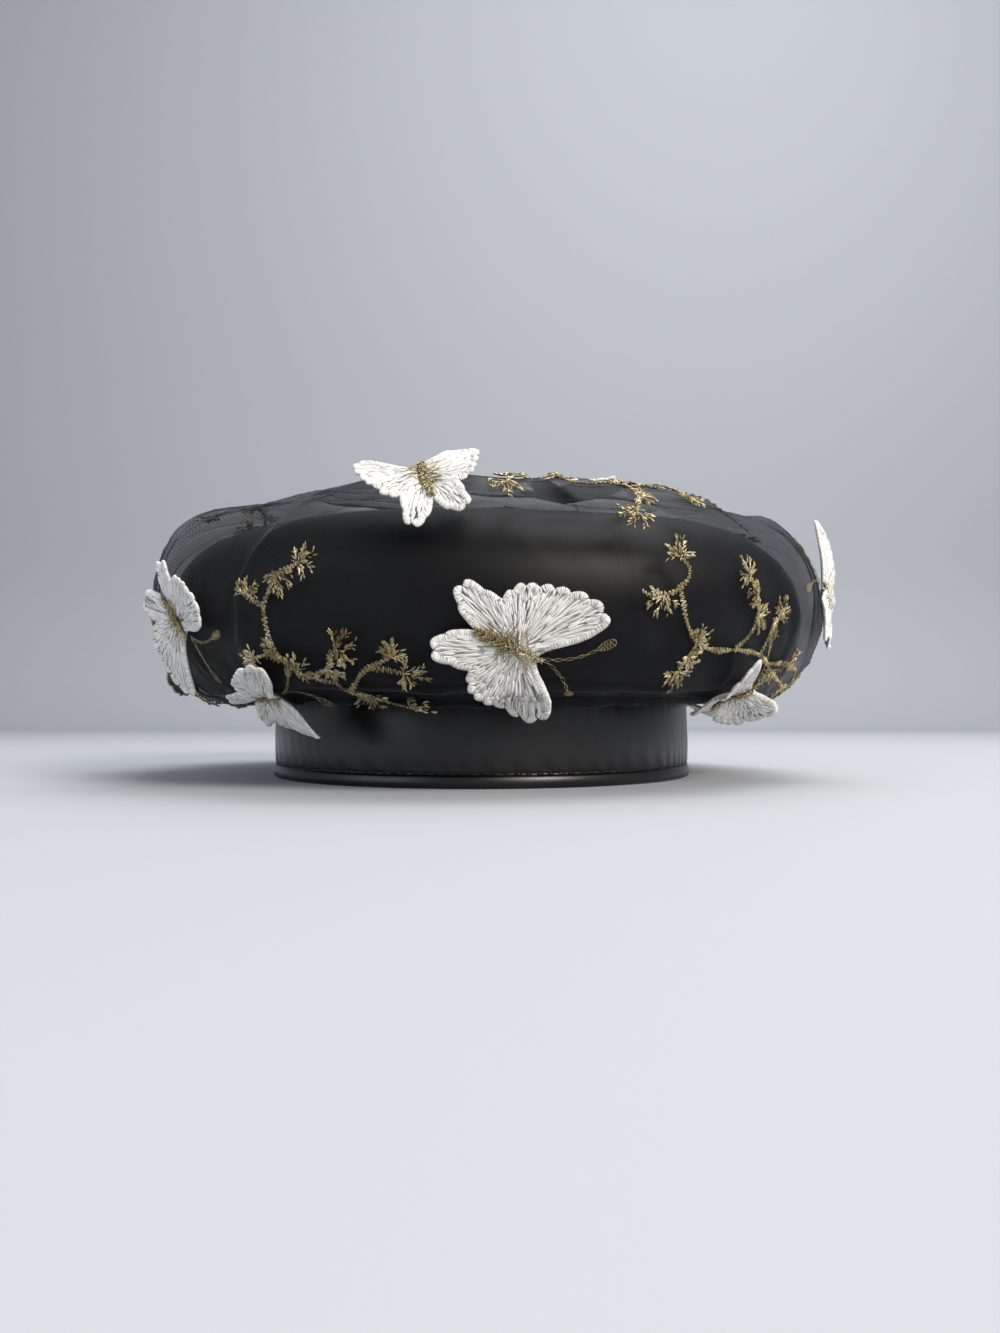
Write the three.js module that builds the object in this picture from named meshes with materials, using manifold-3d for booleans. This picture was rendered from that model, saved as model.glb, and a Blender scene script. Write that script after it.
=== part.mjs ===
import * as THREE from 'three';
import { mergeVertices } from 'three/addons/utils/BufferGeometryUtils.js';
import Module from 'manifold-3d';

// A satin beret with a sheer organza overlay, embroidered butterflies and gold sprigs.
// Millimetres, +Z up, the front towards -Y, the origin on the floor under the middle of the beret.
// Azimuth is in degrees from the front towards +X, and a station runs from 0 at the band to 1 at the top.

// Head band
const headLength = 192;
const headWidth = 156;
const bandHeight = 34;
const bandWall = 3;

// Crown and overlay
const crownHeight = 95;
const crownOverhang = 40;
const satinWall = 2;
const veilWall = 1;
const veilFloat = 5.5;
const puffHeight = 3;
const dentDepth = 6;

// Embroidery
const butterflyReach = 25;
const wingWall = 1.3;
const wingCurl = 1.8;
const bodyLength = 20;
const bodyWidth = 4;
const bodyHeight = 1.7;
const branchLength = 40;
const branchWidth = 2.4;
const branchWall = 1.2;
const leafReach = 8;
const leafWall = 0.9;

// Clearances
const seamGap = 0.3;
const motifGap = 0.5;
const bodyGap = 0.6;

// Facets
const sides = 40;
const veilStations = [
  0.02, 0.06, 0.105, 0.15, 0.195, 0.24, 0.285, 0.33, 0.38, 0.43, 0.48, 0.54, 0.61, 0.69, 0.8, 0.92,
];
const crownStations = [0, 0.025, 0.06, 0.105, 0.17, 0.24, 0.3, 0.36, 0.43, 0.52, 0.68, 0.87];
const branchStep = 9;

// Section of the crown: shares of the band's radius, of the overhang and of the crown's height over the band
const crownSection = [
  { station: 0.0, core: 1, reach: -0.02, rise: 0 },
  { station: 0.035, core: 1, reach: 0.14, rise: 0 },
  { station: 0.085, core: 1, reach: 0.36, rise: -0.07 },
  { station: 0.15, core: 1, reach: 0.66, rise: -0.05 },
  { station: 0.22, core: 1, reach: 0.91, rise: 0.11 },
  { station: 0.3, core: 1, reach: 1, rise: 0.36 },
  { station: 0.375, core: 0.985, reach: 0.965, rise: 0.6 },
  { station: 0.45, core: 0.9, reach: 0.89, rise: 0.78 },
  { station: 0.62, core: 0.66, reach: 0.66, rise: 0.92 },
  { station: 0.81, core: 0.33, reach: 0.33, rise: 0.985 },
  { station: 1.0, core: 0, reach: 0, rise: 1 },
];

// How far the crown hangs over round the head, as a share of the overhang
const overhangRound = [
  { azimuth: -180, share: 1.12 },
  { azimuth: -135, share: 1.04 },
  { azimuth: -90, share: 0.93 },
  { azimuth: -45, share: 1.02 },
  { azimuth: 0, share: 0.98 },
  { azimuth: 45, share: 1.1 },
  { azimuth: 90, share: 1 },
  { azimuth: 135, share: 1.06 },
];

// Space between satin and organza, as a share of the float
const floatAlong = [
  { station: 0, share: 0.08 },
  { station: 0.085, share: 0.16 },
  { station: 0.22, share: 0.4 },
  { station: 0.3, share: 0.62 },
  { station: 0.45, share: 1 },
  { station: 0.62, share: 0.9 },
  { station: 0.81, share: 0.7 },
  { station: 1, share: 0.6 },
];

// Puffs of the loose organza, as shares of the puff height
const veilPuffs = [
  { azimuth: -160, width: 26, from: 0.18, to: 0.55, share: 0.7 },
  { azimuth: -122, width: 22, from: 0.2, to: 0.6, share: 1 },
  { azimuth: -84, width: 24, from: 0.16, to: 0.5, share: 0.6 },
  { azimuth: -50, width: 20, from: 0.24, to: 0.6, share: 0.9 },
  { azimuth: -12, width: 24, from: 0.26, to: 0.66, share: 0.7 },
  { azimuth: 26, width: 20, from: 0.22, to: 0.58, share: 1 },
  { azimuth: 64, width: 26, from: 0.2, to: 0.55, share: 0.6 },
  { azimuth: 104, width: 22, from: 0.22, to: 0.62, share: 0.9 },
  { azimuth: 146, width: 26, from: 0.18, to: 0.6, share: 0.8 },
];

// Sags of the crown, as shares of the dent depth
const crownDents = [
  { azimuth: 8, width: 46, from: 0.03, to: 0.19, share: 0.2 },
  { azimuth: 40, width: 60, from: 0.42, to: 0.86, share: 0.55 },
  { azimuth: -100, width: 70, from: 0.4, to: 0.82, share: 0.7 },
  { azimuth: 165, width: 60, from: 0.38, to: 0.84, share: 1 },
];

// Section of the head band: out is a share of its wall, up of its height; the lower edge is a rolled hem
const bandSection = [
  { out: 0.2, up: 0 },
  { out: 1, up: 0 },
  { out: 1.22, up: 0.05 },
  { out: 0.92, up: 0.13 },
  { out: 1.08, up: 0.4 },
  { out: 0.98, up: 0.85 },
  { out: 0.84, up: 0.96 },
  { out: 0.5, up: 1 },
  { out: 0, up: 0.97 },
  { out: 0, up: 0.06 },
];

// Half of a butterfly's outline, by the angle from its head, as shares of its reach
const wingOutline = [
  { turn: 0, share: 0.24 },
  { turn: 25, share: 0.4 },
  { turn: 38, share: 0.96 },
  { turn: 54, share: 0.96 },
  { turn: 72, share: 0.8 },
  { turn: 98, share: 0.68 },
  { turn: 124, share: 0.6 },
  { turn: 138, share: 0.64 },
  { turn: 151, share: 0.87 },
  { turn: 164, share: 0.84 },
  { turn: 180, share: 0.5 },
];

// Half of a body's outline seen from above: along is a share of its length from the neck, half of its width
const bodyOutline = [
  { along: 0.34, half: 0 },
  { along: 0.2, half: 0.36 },
  { along: 0, half: 0.5 },
  { along: -0.4, half: 0.3 },
  { along: -0.66, half: 0 },
];

// Outline of a leaf tuft along its stem, as shares of its reach
const tuftOutline = [
  { ahead: -0.1, width: 0.22 },
  { ahead: 0.15, width: 0.3 },
  { ahead: 0.6, width: 0.85 },
  { ahead: 1, width: 0.3 },
];

// Branches of the three kinds of sprig: each leaves another branch at a share of that one's length, turned from
// it in degrees, bends by a total angle and sways to both sides; its length is a share of the branch length
const sprigBranches = {
  fork: [
    { name: 'crest', length: 0.465, bend: 33, sway: -15 },
    { name: 'stub', from: 'crest', at: 1, turn: -80, length: 0.27, bend: -21, sway: 0 },
    { name: 'stem', from: 'crest', at: 1, turn: 32, length: 0.86, bend: 73, sway: -8 },
    { name: 'end', from: 'stem', at: 1, turn: -48, length: 0.6, bend: 35, sway: -2 },
    { name: 'rise', from: 'end', at: 0.2, turn: 96, length: 0.56, bend: -12, sway: 13 },
    { name: 'side', from: 'rise', at: 0.6, turn: -52, length: 0.25, bend: 20, sway: 14 },
    { name: 'twig', from: 'stem', at: 0.83, turn: 111, length: 0.36, bend: -96, sway: -45 },
    { name: 'drop', from: 'stem', at: 0.42, turn: -118, length: 0.24, bend: 21, sway: 0 },
  ],
  arch: [
    { name: 'crest', length: 0.29, bend: -92, sway: 23 },
    { name: 'stub', from: 'crest', at: 1, turn: 5, length: 0.33, bend: -79, sway: -7 },
    { name: 'stem', from: 'crest', at: 1, turn: 61, length: 0.9, bend: 85, sway: -6 },
    { name: 'bow', from: 'stem', at: 1, turn: -22, length: 0.83, bend: -15, sway: 8 },
    { name: 'end', from: 'bow', at: 1, turn: 5, length: 1.16, bend: -2, sway: 2 },
    { name: 'side', from: 'stem', at: 0.54, turn: -110, length: 0.26, bend: 60, sway: 15 },
    { name: 'loop', from: 'stem', at: 1, turn: 17, length: 0.7, bend: 102, sway: -11 },
    { name: 'hook', from: 'bow', at: 0.5, turn: 72, length: 0.4, bend: 6, sway: 22 },
    { name: 'upper', from: 'bow', at: 0.75, turn: 38, length: 1.1, bend: -51, sway: -2 },
  ],
  bough: [
    { name: 'crest', length: 0.98, bend: 119, sway: -28 },
    { name: 'twig', from: 'crest', at: 1, turn: 60, length: 0.36, bend: -60, sway: 0 },
    { name: 'stem', from: 'crest', at: 1, turn: -85, length: 0.8, bend: 25, sway: 12 },
    { name: 'end', from: 'stem', at: 1, turn: 30, length: 0.22, bend: 60, sway: 15 },
  ],
};

// Leaf tufts of the sprigs: the place on a branch, the turn from it and the share of the leaf reach
const sprigTufts = {
  fork: [
    { on: 'crest', at: 0.4, turn: 75, share: 0.9 },
    { on: 'stub', at: 0.6, turn: -60, share: 0.8 },
    { on: 'stem', at: 0.62, turn: 70, share: 0.9 },
    { on: 'twig', at: 1, turn: 0, share: 1 },
    { on: 'drop', at: 1, turn: 0, share: 0.7 },
    { on: 'rise', at: 0.95, turn: 40, share: 0.7 },
    { on: 'side', at: 1, turn: -20, share: 1 },
    { on: 'end', at: 0.5, turn: -70, share: 1 },
    { on: 'end', at: 1, turn: 0, share: 1 },
  ],
  arch: [
    { on: 'stub', at: 0.5, turn: 60, share: 0.9 },
    { on: 'crest', at: 0, turn: 150, share: 0.9 },
    { on: 'side', at: 1, turn: 0, share: 1 },
    { on: 'loop', at: 0.5, turn: -60, share: 0.9 },
    { on: 'loop', at: 1, turn: 0, share: 1 },
    { on: 'hook', at: 1, turn: 0, share: 0.9 },
    { on: 'bow', at: 0.9, turn: -70, share: 0.8 },
    { on: 'end', at: 1, turn: 0, share: 1 },
    { on: 'upper', at: 0.45, turn: 60, share: 0.9 },
    { on: 'upper', at: 1, turn: 0, share: 0.9 },
  ],
  bough: [
    { on: 'crest', at: 0.5, turn: 70, share: 0.9 },
    { on: 'crest', at: 0.8, turn: -60, share: 0.9 },
    { on: 'twig', at: 1, turn: 0, share: 1 },
    { on: 'stem', at: 0.55, turn: -70, share: 0.8 },
    { on: 'stem', at: 1, turn: -60, share: 0.9 },
    { on: 'end', at: 1, turn: 0, share: 0.9 },
  ],
};

// Sprigs on the overlay: the root of the first branch and its heading, 0 towards +azimuth, 90 towards the top
const sprigs = [
  { name: 'front_left', kind: 'fork', azimuth: -19.6, station: 0.335, heading: -159 },
  { name: 'front_right', kind: 'arch', azimuth: 23.4, station: 0.345, heading: -43 },
  { name: 'side_left', kind: 'bough', azimuth: -51.1, station: 0.3, heading: 164 },
  { name: 'back_right', kind: 'fork', azimuth: 160.4, station: 0.335, heading: -159 },
  { name: 'back_left', kind: 'arch', azimuth: -161.6, station: 0.345, heading: -43 },
  { name: 'side_right', kind: 'bough', azimuth: 134.9, station: 0.3, heading: 164 },
  { name: 'top_left', kind: 'bough', azimuth: -58, station: 0.46, heading: 60 },
  { name: 'top_right', kind: 'bough', azimuth: 96, station: 0.46, heading: 75 },
  { name: 'top_front', kind: 'bough', azimuth: 30, station: 0.43, heading: 100 },
];

// Butterflies on the overlay: the head's heading, a share of the reach, the extra spread of the fore wings in
// degrees and how steeply the left and right wings rise
const butterflies = [
  { name: 'front', azimuth: 4.8, station: 0.228, heading: -24, share: 1, spread: 0, left: 6, right: 6 },
  { name: 'front_right', azimuth: 44, station: 0.16, heading: 70, share: 0.8, spread: 28, left: 8, right: 18 },
  { name: 'right', azimuth: 63, station: 0.335, heading: 150, share: 0.9, spread: 6, left: 10, right: 24 },
  { name: 'front_left', azimuth: -44, station: 0.28, heading: -50, share: 0.85, spread: 4, left: 8, right: 14 },
  { name: 'low_left', azimuth: -32, station: 0.145, heading: 6, share: 0.78, spread: 0, left: 8, right: 36 },
  { name: 'left', azimuth: -88, station: 0.255, heading: 20, share: 0.8, spread: 10, left: 6, right: 16 },
  { name: 'top_front', azimuth: -6, station: 0.43, heading: 112, share: 0.85, spread: 6, left: 8, right: 14 },
  { name: 'low_right', azimuth: 99, station: 0.245, heading: 30, share: 0.8, spread: 8, left: 8, right: 14 },
  { name: 'back', azimuth: -175.2, station: 0.228, heading: -24, share: 1, spread: 0, left: 6, right: 8 },
  { name: 'back_left', azimuth: -141, station: 0.16, heading: 70, share: 0.8, spread: 28, left: 8, right: 14 },
  { name: 'back_right', azimuth: 140, station: 0.175, heading: -50, share: 0.75, spread: 4, left: 8, right: 14 },
  { name: 'side_back', azimuth: -118, station: 0.3, heading: 140, share: 0.85, spread: 6, left: 9, right: 8 },
  { name: 'top_left', azimuth: -118, station: 0.57, heading: 60, share: 0.9, spread: 8, left: 12, right: 10 },
  { name: 'top_back', azimuth: 170, station: 0.58, heading: -60, share: 0.9, spread: 0, left: 8, right: 14 },
  { name: 'top_right', azimuth: 22, station: 0.7, heading: 20, share: 0.9, spread: 4, left: 10, right: 12 },
];

const satin = new THREE.MeshStandardMaterial({ color: 0x0b0b0f, roughness: 0.35, metalness: 0 });
const organza = new THREE.MeshStandardMaterial({ color: 0x26282c, roughness: 0.6, metalness: 0 });
const whiteThread = new THREE.MeshStandardMaterial({ color: 0xe4e3df, roughness: 0.75, metalness: 0 });
const goldThread = new THREE.MeshStandardMaterial({ color: 0x9b8a5c, roughness: 0.5, metalness: 0.35 });

const toRadians = THREE.MathUtils.degToRad;

// A smooth curve through one column of a table, at a place in another column; with a period the table repeats
function along(rows, place, column, x, period = 0) {
  const spots = rows.map((row) => row[place]);
  const values = rows.map((row) => row[column]);
  const last = rows.length - 1;
  const near = (k) => {
    if (k >= 0 && k <= last) return [spots[k], values[k]];
    const side = k < 0 ? -1 : 1;
    const wrapped = k - side * (last + 1);
    if (period) return [spots[wrapped] + side * period, values[wrapped]];
    const edge = k < 0 ? 0 : last;
    return [2 * spots[edge] - spots[edge - side], 2 * values[edge] - values[edge - side]];
  };
  const start = spots[0];
  const inside = period ? THREE.MathUtils.euclideanModulo(x - start, period) + start : x;
  const at = THREE.MathUtils.clamp(inside, start, period ? start + period : spots[last]);
  const count = period ? last : last - 1;
  let k = 0;
  while (k < count && at > spots[k + 1]) k += 1;
  const [before, one, two, after] = [near(k - 1), near(k), near(k + 1), near(k + 2)];
  const span = two[0] - one[0];
  const t = (at - one[0]) / span;
  const leave = ((two[1] - before[1]) / (two[0] - before[0])) * span;
  const arrive = ((after[1] - one[1]) / (after[0] - one[0])) * span;
  const rest = 1 - t;
  return (1 + 2 * t) * rest * rest * one[1] + t * rest * rest * leave
    + t * t * (3 - 2 * t) * two[1] - t * t * rest * arrive;
}

// Height of soft swellings from a table, each a smooth hump in azimuth and station
function swell(rows, azimuth, station) {
  let height = 0;
  for (const row of rows) {
    const turn = THREE.MathUtils.euclideanModulo(azimuth - row.azimuth + 180, 360) - 180;
    if (Math.abs(turn) >= row.width || station <= row.from || station >= row.to) continue;
    const across = Math.cos((turn / row.width) * Math.PI / 2) ** 2;
    const up = Math.sin(((station - row.from) / (row.to - row.from)) * Math.PI) ** 2;
    height += row.share * across * up;
  }
  return height;
}

// Radius of the head ellipse, grown outwards
function headRadius(azimuth, out) {
  const front = headLength / 2 + out;
  const side = headWidth / 2 + out;
  const turn = toRadians(azimuth);
  return front * side / Math.hypot(side * Math.cos(turn), front * Math.sin(turn));
}

function roundPoint(azimuth, radius, z) {
  const turn = toRadians(azimuth);
  return new THREE.Vector3(radius * Math.sin(turn), -radius * Math.cos(turn), z);
}

// Middle of the satin crown's wall
function crownMiddle(azimuth, station) {
  const core = along(crownSection, 'station', 'core', station);
  const reach = along(crownSection, 'station', 'reach', station);
  const rise = along(crownSection, 'station', 'rise', station);
  const overhang = crownOverhang * along(overhangRound, 'azimuth', 'share', azimuth, 360);
  const base = bandHeight + seamGap + satinWall / 2;
  const radius = core * headRadius(azimuth, bandWall / 2) + reach * overhang;
  const sag = dentDepth * swell(crownDents, azimuth, station);
  return roundPoint(azimuth, radius, base + rise * (crownHeight - satinWall / 2 - base) - sag);
}

// A place on the cloth, at a height over the middle of the satin
function clothPoint(azimuth, station, height) {
  const step = 0.001;
  const inner = THREE.MathUtils.clamp(station, step, 1 - 2 * step);
  const round = crownMiddle(azimuth + 0.1, inner).sub(crownMiddle(azimuth - 0.1, inner));
  const up = crownMiddle(azimuth, inner + step).sub(crownMiddle(azimuth, inner - step));
  const normal = round.cross(up).normalize();
  return crownMiddle(azimuth, station).addScaledVector(normal, height);
}

// Height of the organza's inner face over the middle of the satin
function veilInside(azimuth, station) {
  const float = veilFloat * along(floatAlong, 'station', 'share', station);
  return satinWall / 2 + float + puffHeight * swell(veilPuffs, azimuth, station);
}

function veilPoint(azimuth, station, height) {
  return clothPoint(azimuth, station, veilInside(azimuth, station) + veilWall + height);
}

// Slopes of the overlay's surface at a place, for each degree and each station, and its normal
function veilFrame(azimuth, station) {
  const turn = 0.5;
  const step = 0.004;
  const round = veilPoint(azimuth + turn, station, 0).sub(veilPoint(azimuth - turn, station, 0));
  const up = veilPoint(azimuth, station + step, 0).sub(veilPoint(azimuth, station - step, 0));
  round.divideScalar(2 * turn);
  up.divideScalar(2 * step);
  const normal = round.clone().cross(up).normalize();
  return { round, up, normal };
}

// A walker on the overlay: where it is, its slopes and the direction it faces
function startWalk(azimuth, station, heading) {
  const frame = veilFrame(azimuth, station);
  const facing = frame.round.clone().normalize();
  facing.applyAxisAngle(frame.normal, toRadians(heading));
  return { azimuth, station, frame, facing };
}

function turned(walker, angle) {
  const facing = walker.facing.clone().applyAxisAngle(walker.frame.normal, toRadians(angle));
  return { ...walker, facing };
}

function stepOn(walker, length) {
  const { round, up } = walker.frame;
  const azimuth = walker.azimuth + length * walker.facing.dot(round) / round.lengthSq();
  const station = walker.station + length * walker.facing.dot(up) / up.lengthSq();
  const frame = veilFrame(azimuth, station);
  const facing = walker.facing.clone().projectOnPlane(frame.normal).normalize();
  return { azimuth, station, frame, facing };
}

function walkStraight(walker, length) {
  const count = Math.max(1, Math.ceil(Math.abs(length) / 4));
  let place = walker;
  for (let i = 0; i < count; i += 1) place = stepOn(place, length / count);
  return place;
}

function addMesh(group, name, geometry, material) {
  const mesh = new THREE.Mesh(geometry, material);
  mesh.name = name;
  group.add(mesh);
}

function geometryOf(points, faces) {
  const geometry = new THREE.BufferGeometry();
  const numbers = points.flatMap((point) => [point.x, point.y, point.z]);
  geometry.setAttribute('position', new THREE.Float32BufferAttribute(numbers, 3));
  geometry.setIndex(faces.flat());
  return geometry;
}

// Two triangles of a grid's cell, from rings of equal length
function bandFaces(lower, upper, count) {
  const faces = [];
  for (let i = 0; i < count; i += 1) {
    const next = (i + 1) % count;
    faces.push([lower + i, lower + next, upper + next], [lower + i, upper + next, upper + i]);
  }
  return faces;
}

// A closed cloth shell round the crown between two heights over the middle of the satin
function clothShell(levels, inside, outside) {
  const points = [];
  for (const height of [outside, inside]) {
    for (const station of levels) {
      for (let i = 0; i < sides; i += 1) {
        const azimuth = (i / sides) * 360 - 180;
        points.push(clothPoint(azimuth, station, height(azimuth, station)));
      }
    }
  }
  const layer = levels.length * sides;
  const poles = [points.length, points.length + 1];
  points.push(clothPoint(0, 1, outside(0, 1)), clothPoint(0, 1, inside(0, 1)));
  const faces = [];
  for (const side of [0, 1]) {
    const start = side * layer;
    const skin = [];
    for (let k = 0; k < levels.length - 1; k += 1) {
      skin.push(...bandFaces(start + k * sides, start + (k + 1) * sides, sides));
    }
    const top = start + layer - sides;
    for (let i = 0; i < sides; i += 1) skin.push([top + i, top + ((i + 1) % sides), poles[side]]);
    faces.push(...(side ? skin.map((face) => [face[0], face[2], face[1]]) : skin));
  }
  faces.push(...bandFaces(layer, 0, sides));
  return geometryOf(points, faces);
}

function headband() {
  const points = [];
  for (const row of bandSection) {
    for (let i = 0; i < sides; i += 1) {
      const azimuth = (i / sides) * 360 - 180;
      points.push(roundPoint(azimuth, headRadius(azimuth, row.out * bandWall), row.up * bandHeight));
    }
  }
  const faces = [];
  for (let k = 0; k < bandSection.length; k += 1) {
    faces.push(...bandFaces(k * sides, ((k + 1) % bandSection.length) * sides, sides));
  }
  return geometryOf(points, faces);
}

// A closed plate draped on the overlay. Outline points are x ahead and y to the left, place puts a point and
// a height in space, and thick gives the plate's wall at a share of the outline
function drapedPlate(outline, rings, place, foot, thick) {
  const points = [];
  for (const upper of [true, false]) {
    for (const ring of rings) {
      for (const point of outline) {
        const height = foot + (upper ? thick(ring) : 0);
        points.push(place(point.x * ring, point.y * ring, height));
      }
    }
    points.push(place(0, 0, foot + (upper ? thick(0) : 0)));
  }
  const count = outline.length;
  const layer = rings.length * count + 1;
  const faces = [];
  for (const side of [0, 1]) {
    const start = side * layer;
    const centre = start + layer - 1;
    const skin = [];
    for (let i = 0; i < count; i += 1) skin.push([centre, start + i, start + ((i + 1) % count)]);
    for (let k = 0; k < rings.length - 1; k += 1) {
      skin.push(...bandFaces(start + (k + 1) * count, start + k * count, count));
    }
    faces.push(...(side ? skin.map((face) => [face[0], face[2], face[1]]) : skin));
  }
  faces.push(...bandFaces(layer + (rings.length - 1) * count, (rings.length - 1) * count, count));
  return geometryOf(points, faces);
}

// Both halves of an outline given for the left half
function bothHalves(half) {
  const mirrored = half.slice(1, -1).reverse().map((point) => ({ x: point.x, y: -point.y }));
  return [...half, ...mirrored];
}

// A point of a wing's outline; a wide spread swings the fore wing back towards the hind wing
function wingPoint(row, reach, spread) {
  const swing = Math.max(0, Math.sin(toRadians(1.2 * row.turn)));
  const turn = toRadians(row.turn + spread * swing);
  return { x: Math.cos(turn) * row.share * reach, y: Math.sin(turn) * row.share * reach };
}

// Puts a point of a butterfly in space: the wings rise from the body on both sides and curl up at their tips
function wingPlace(butterfly, reach) {
  const root = startWalk(butterfly.azimuth, butterfly.station, butterfly.heading);
  return (x, y, height) => {
    const rise = toRadians(y > 0 ? butterfly.left : butterfly.right);
    const lean = Math.min(Math.abs(y) / 2, height * Math.sin(rise) * Math.min(1, Math.abs(y)));
    const out = Math.abs(y) * Math.cos(rise) - lean;
    const side = Math.sign(y) * out;
    const lift = Math.abs(y) * Math.sin(rise) + height * Math.cos(rise);
    const curl = wingCurl * (x * x + y * y) / (reach * reach);
    const distance = Math.hypot(x, side);
    const spot = walkStraight(turned(root, THREE.MathUtils.radToDeg(Math.atan2(side, x))), distance);
    return veilPoint(spot.azimuth, spot.station, motifGap + lift + curl);
  };
}

function addButterfly(group, butterfly) {
  const reach = butterflyReach * butterfly.share;
  const place = wingPlace(butterfly, reach);
  const wings = bothHalves(wingOutline.map((row) => wingPoint(row, reach, butterfly.spread)));
  const name = `butterfly_${butterfly.name}`;
  addMesh(group, name, drapedPlate(wings, [0.55, 1], place, 0, () => wingWall), whiteThread);
  const length = bodyLength * butterfly.share;
  const body = bothHalves(bodyOutline.map((row) => ({ x: row.along * length, y: row.half * bodyWidth })));
  const thick = (ring) => bodyHeight * (1 - 0.55 * ring);
  const foot = wingWall + bodyGap;
  addMesh(group, `${name}_body`, drapedPlate(body, [1], place, foot, thick), goldThread);
}

// A branch's walkers, from its root to its end
function growBranch(root, branch) {
  const length = branch.length * branchLength;
  const count = Math.max(2, Math.round(length / branchStep));
  const places = [root];
  const fine = 4;
  let place = root;
  let before = 0;
  for (let i = 0; i < count * fine; i += 1) {
    const t = (i + 0.5) / (count * fine);
    const angle = branch.bend * t + branch.sway * Math.sin(2 * Math.PI * t);
    place = stepOn(turned(place, angle - before), length / (count * fine));
    before = angle;
    if (i % fine === fine - 1) places.push(place);
  }
  return places;
}

// A flat strip of couched thread along a row of walkers, with a width at each
function strip(places, widths, foot, wall) {
  const points = [];
  places.forEach((place, i) => {
    const aside = turned(place, 90).facing;
    for (const [across, height] of [[0.5, foot], [0.5, foot + wall], [-0.5, foot + wall], [-0.5, foot]]) {
      const point = veilPoint(place.azimuth, place.station, motifGap + height);
      points.push(point.addScaledVector(aside, across * widths[i]));
    }
  });
  const faces = [];
  for (let i = 0; i < places.length - 1; i += 1) faces.push(...bandFaces(4 * i, 4 * i + 4, 4));
  const end = 4 * (places.length - 1);
  faces.push([0, 2, 1], [0, 3, 2], [end, end + 1, end + 2], [end, end + 2, end + 3]);
  return geometryOf(points, faces);
}

const manifold = await Module();
manifold.setup();

function asSolid(geometry) {
  const merged = mergeVertices(geometry, 1e-4);
  const vertProperties = new Float32Array(merged.attributes.position.array);
  const triVerts = new Uint32Array(merged.index.array);
  return new manifold.Manifold(new manifold.Mesh({ numProp: 3, vertProperties, triVerts }));
}

function asGeometry(solid) {
  const mesh = solid.getMesh();
  const geometry = new THREE.BufferGeometry();
  geometry.setAttribute('position', new THREE.Float32BufferAttribute(mesh.vertProperties, 3));
  geometry.setIndex(Array.from(mesh.triVerts));
  return geometry;
}

// All branches and leaf tufts of a sprig, joined into one solid
function addSprig(group, sprig) {
  const grown = {};
  const pieces = [];
  const spotOn = (name, at, turn) => {
    const places = grown[name];
    return turned(places[Math.round(at * (places.length - 1))], turn);
  };
  for (const branch of sprigBranches[sprig.kind]) {
    const root = branch.from
      ? spotOn(branch.from, branch.at, branch.turn)
      : startWalk(sprig.azimuth, sprig.station, sprig.heading);
    grown[branch.name] = growBranch(root, branch);
    const places = grown[branch.name];
    pieces.push(strip(places, places.map(() => branchWidth), 0, branchWall));
  }
  for (const tuft of sprigTufts[sprig.kind]) {
    const root = spotOn(tuft.on, tuft.at, tuft.turn);
    const reach = tuft.share * leafReach;
    const places = tuftOutline.map((row) => walkStraight(root, row.ahead * reach));
    const widths = tuftOutline.map((row) => row.width * reach);
    pieces.push(strip(places, widths, (branchWall - leafWall) / 2, leafWall));
  }
  let solid = asSolid(pieces[0]);
  for (const piece of pieces.slice(1)) solid = solid.add(asSolid(piece));
  addMesh(group, `sprig_${sprig.name}`, asGeometry(solid), goldThread);
}

const beret = new THREE.Group();
addMesh(beret, 'headband', headband(), satin);
addMesh(beret, 'crown', clothShell(crownStations, () => -satinWall / 2, () => satinWall / 2), satin);
const veilOutside = (azimuth, station) => veilInside(azimuth, station) + veilWall;
addMesh(beret, 'organza_overlay', clothShell(veilStations, veilInside, veilOutside), organza);
for (const butterfly of butterflies) addButterfly(beret, butterfly);
for (const sprig of sprigs) addSprig(beret, sprig);

// The origin lies under the middle of the whole beret
const middle = new THREE.Box3().setFromObject(beret).getCenter(new THREE.Vector3());
beret.position.set(-middle.x, -middle.y, 0);

export default beret;
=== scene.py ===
import math
import random

import bmesh
import bpy
import numpy as np
from mathutils import Matrix, Vector


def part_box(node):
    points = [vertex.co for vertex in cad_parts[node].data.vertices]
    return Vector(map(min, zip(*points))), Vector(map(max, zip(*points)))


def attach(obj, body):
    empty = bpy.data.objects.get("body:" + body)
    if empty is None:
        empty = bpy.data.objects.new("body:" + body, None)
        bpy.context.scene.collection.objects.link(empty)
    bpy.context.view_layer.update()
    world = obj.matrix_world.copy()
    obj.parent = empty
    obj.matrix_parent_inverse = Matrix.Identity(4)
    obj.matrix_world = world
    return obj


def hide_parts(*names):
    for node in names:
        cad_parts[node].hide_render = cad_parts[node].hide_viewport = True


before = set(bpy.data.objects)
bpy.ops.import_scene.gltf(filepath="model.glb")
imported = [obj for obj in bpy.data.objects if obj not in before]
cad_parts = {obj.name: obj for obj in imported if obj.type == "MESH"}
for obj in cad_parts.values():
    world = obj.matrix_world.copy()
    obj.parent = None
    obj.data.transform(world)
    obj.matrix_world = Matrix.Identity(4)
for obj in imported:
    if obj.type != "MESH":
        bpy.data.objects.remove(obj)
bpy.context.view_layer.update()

mm = 0.001
bandLow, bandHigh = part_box("headband")
axisX = (bandLow.x + bandHigh.x) / 2
axisY = (bandLow.y + bandHigh.y) / 2

# the beret's own sizes in mm, as in its solids
beret = {
    "headLength": 192, "headWidth": 156, "bandHeight": 34, "bandWall": 3,
    "crownHeight": 95, "overhang": 40, "satinWall": 2, "seamGap": 0.3,
    "veilFloat": 5.5, "veilWall": 1, "puffHeight": 3, "dentDepth": 6,
    "butterflyReach": 25, "branchLength": 40, "leafReach": 8,
}

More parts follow.
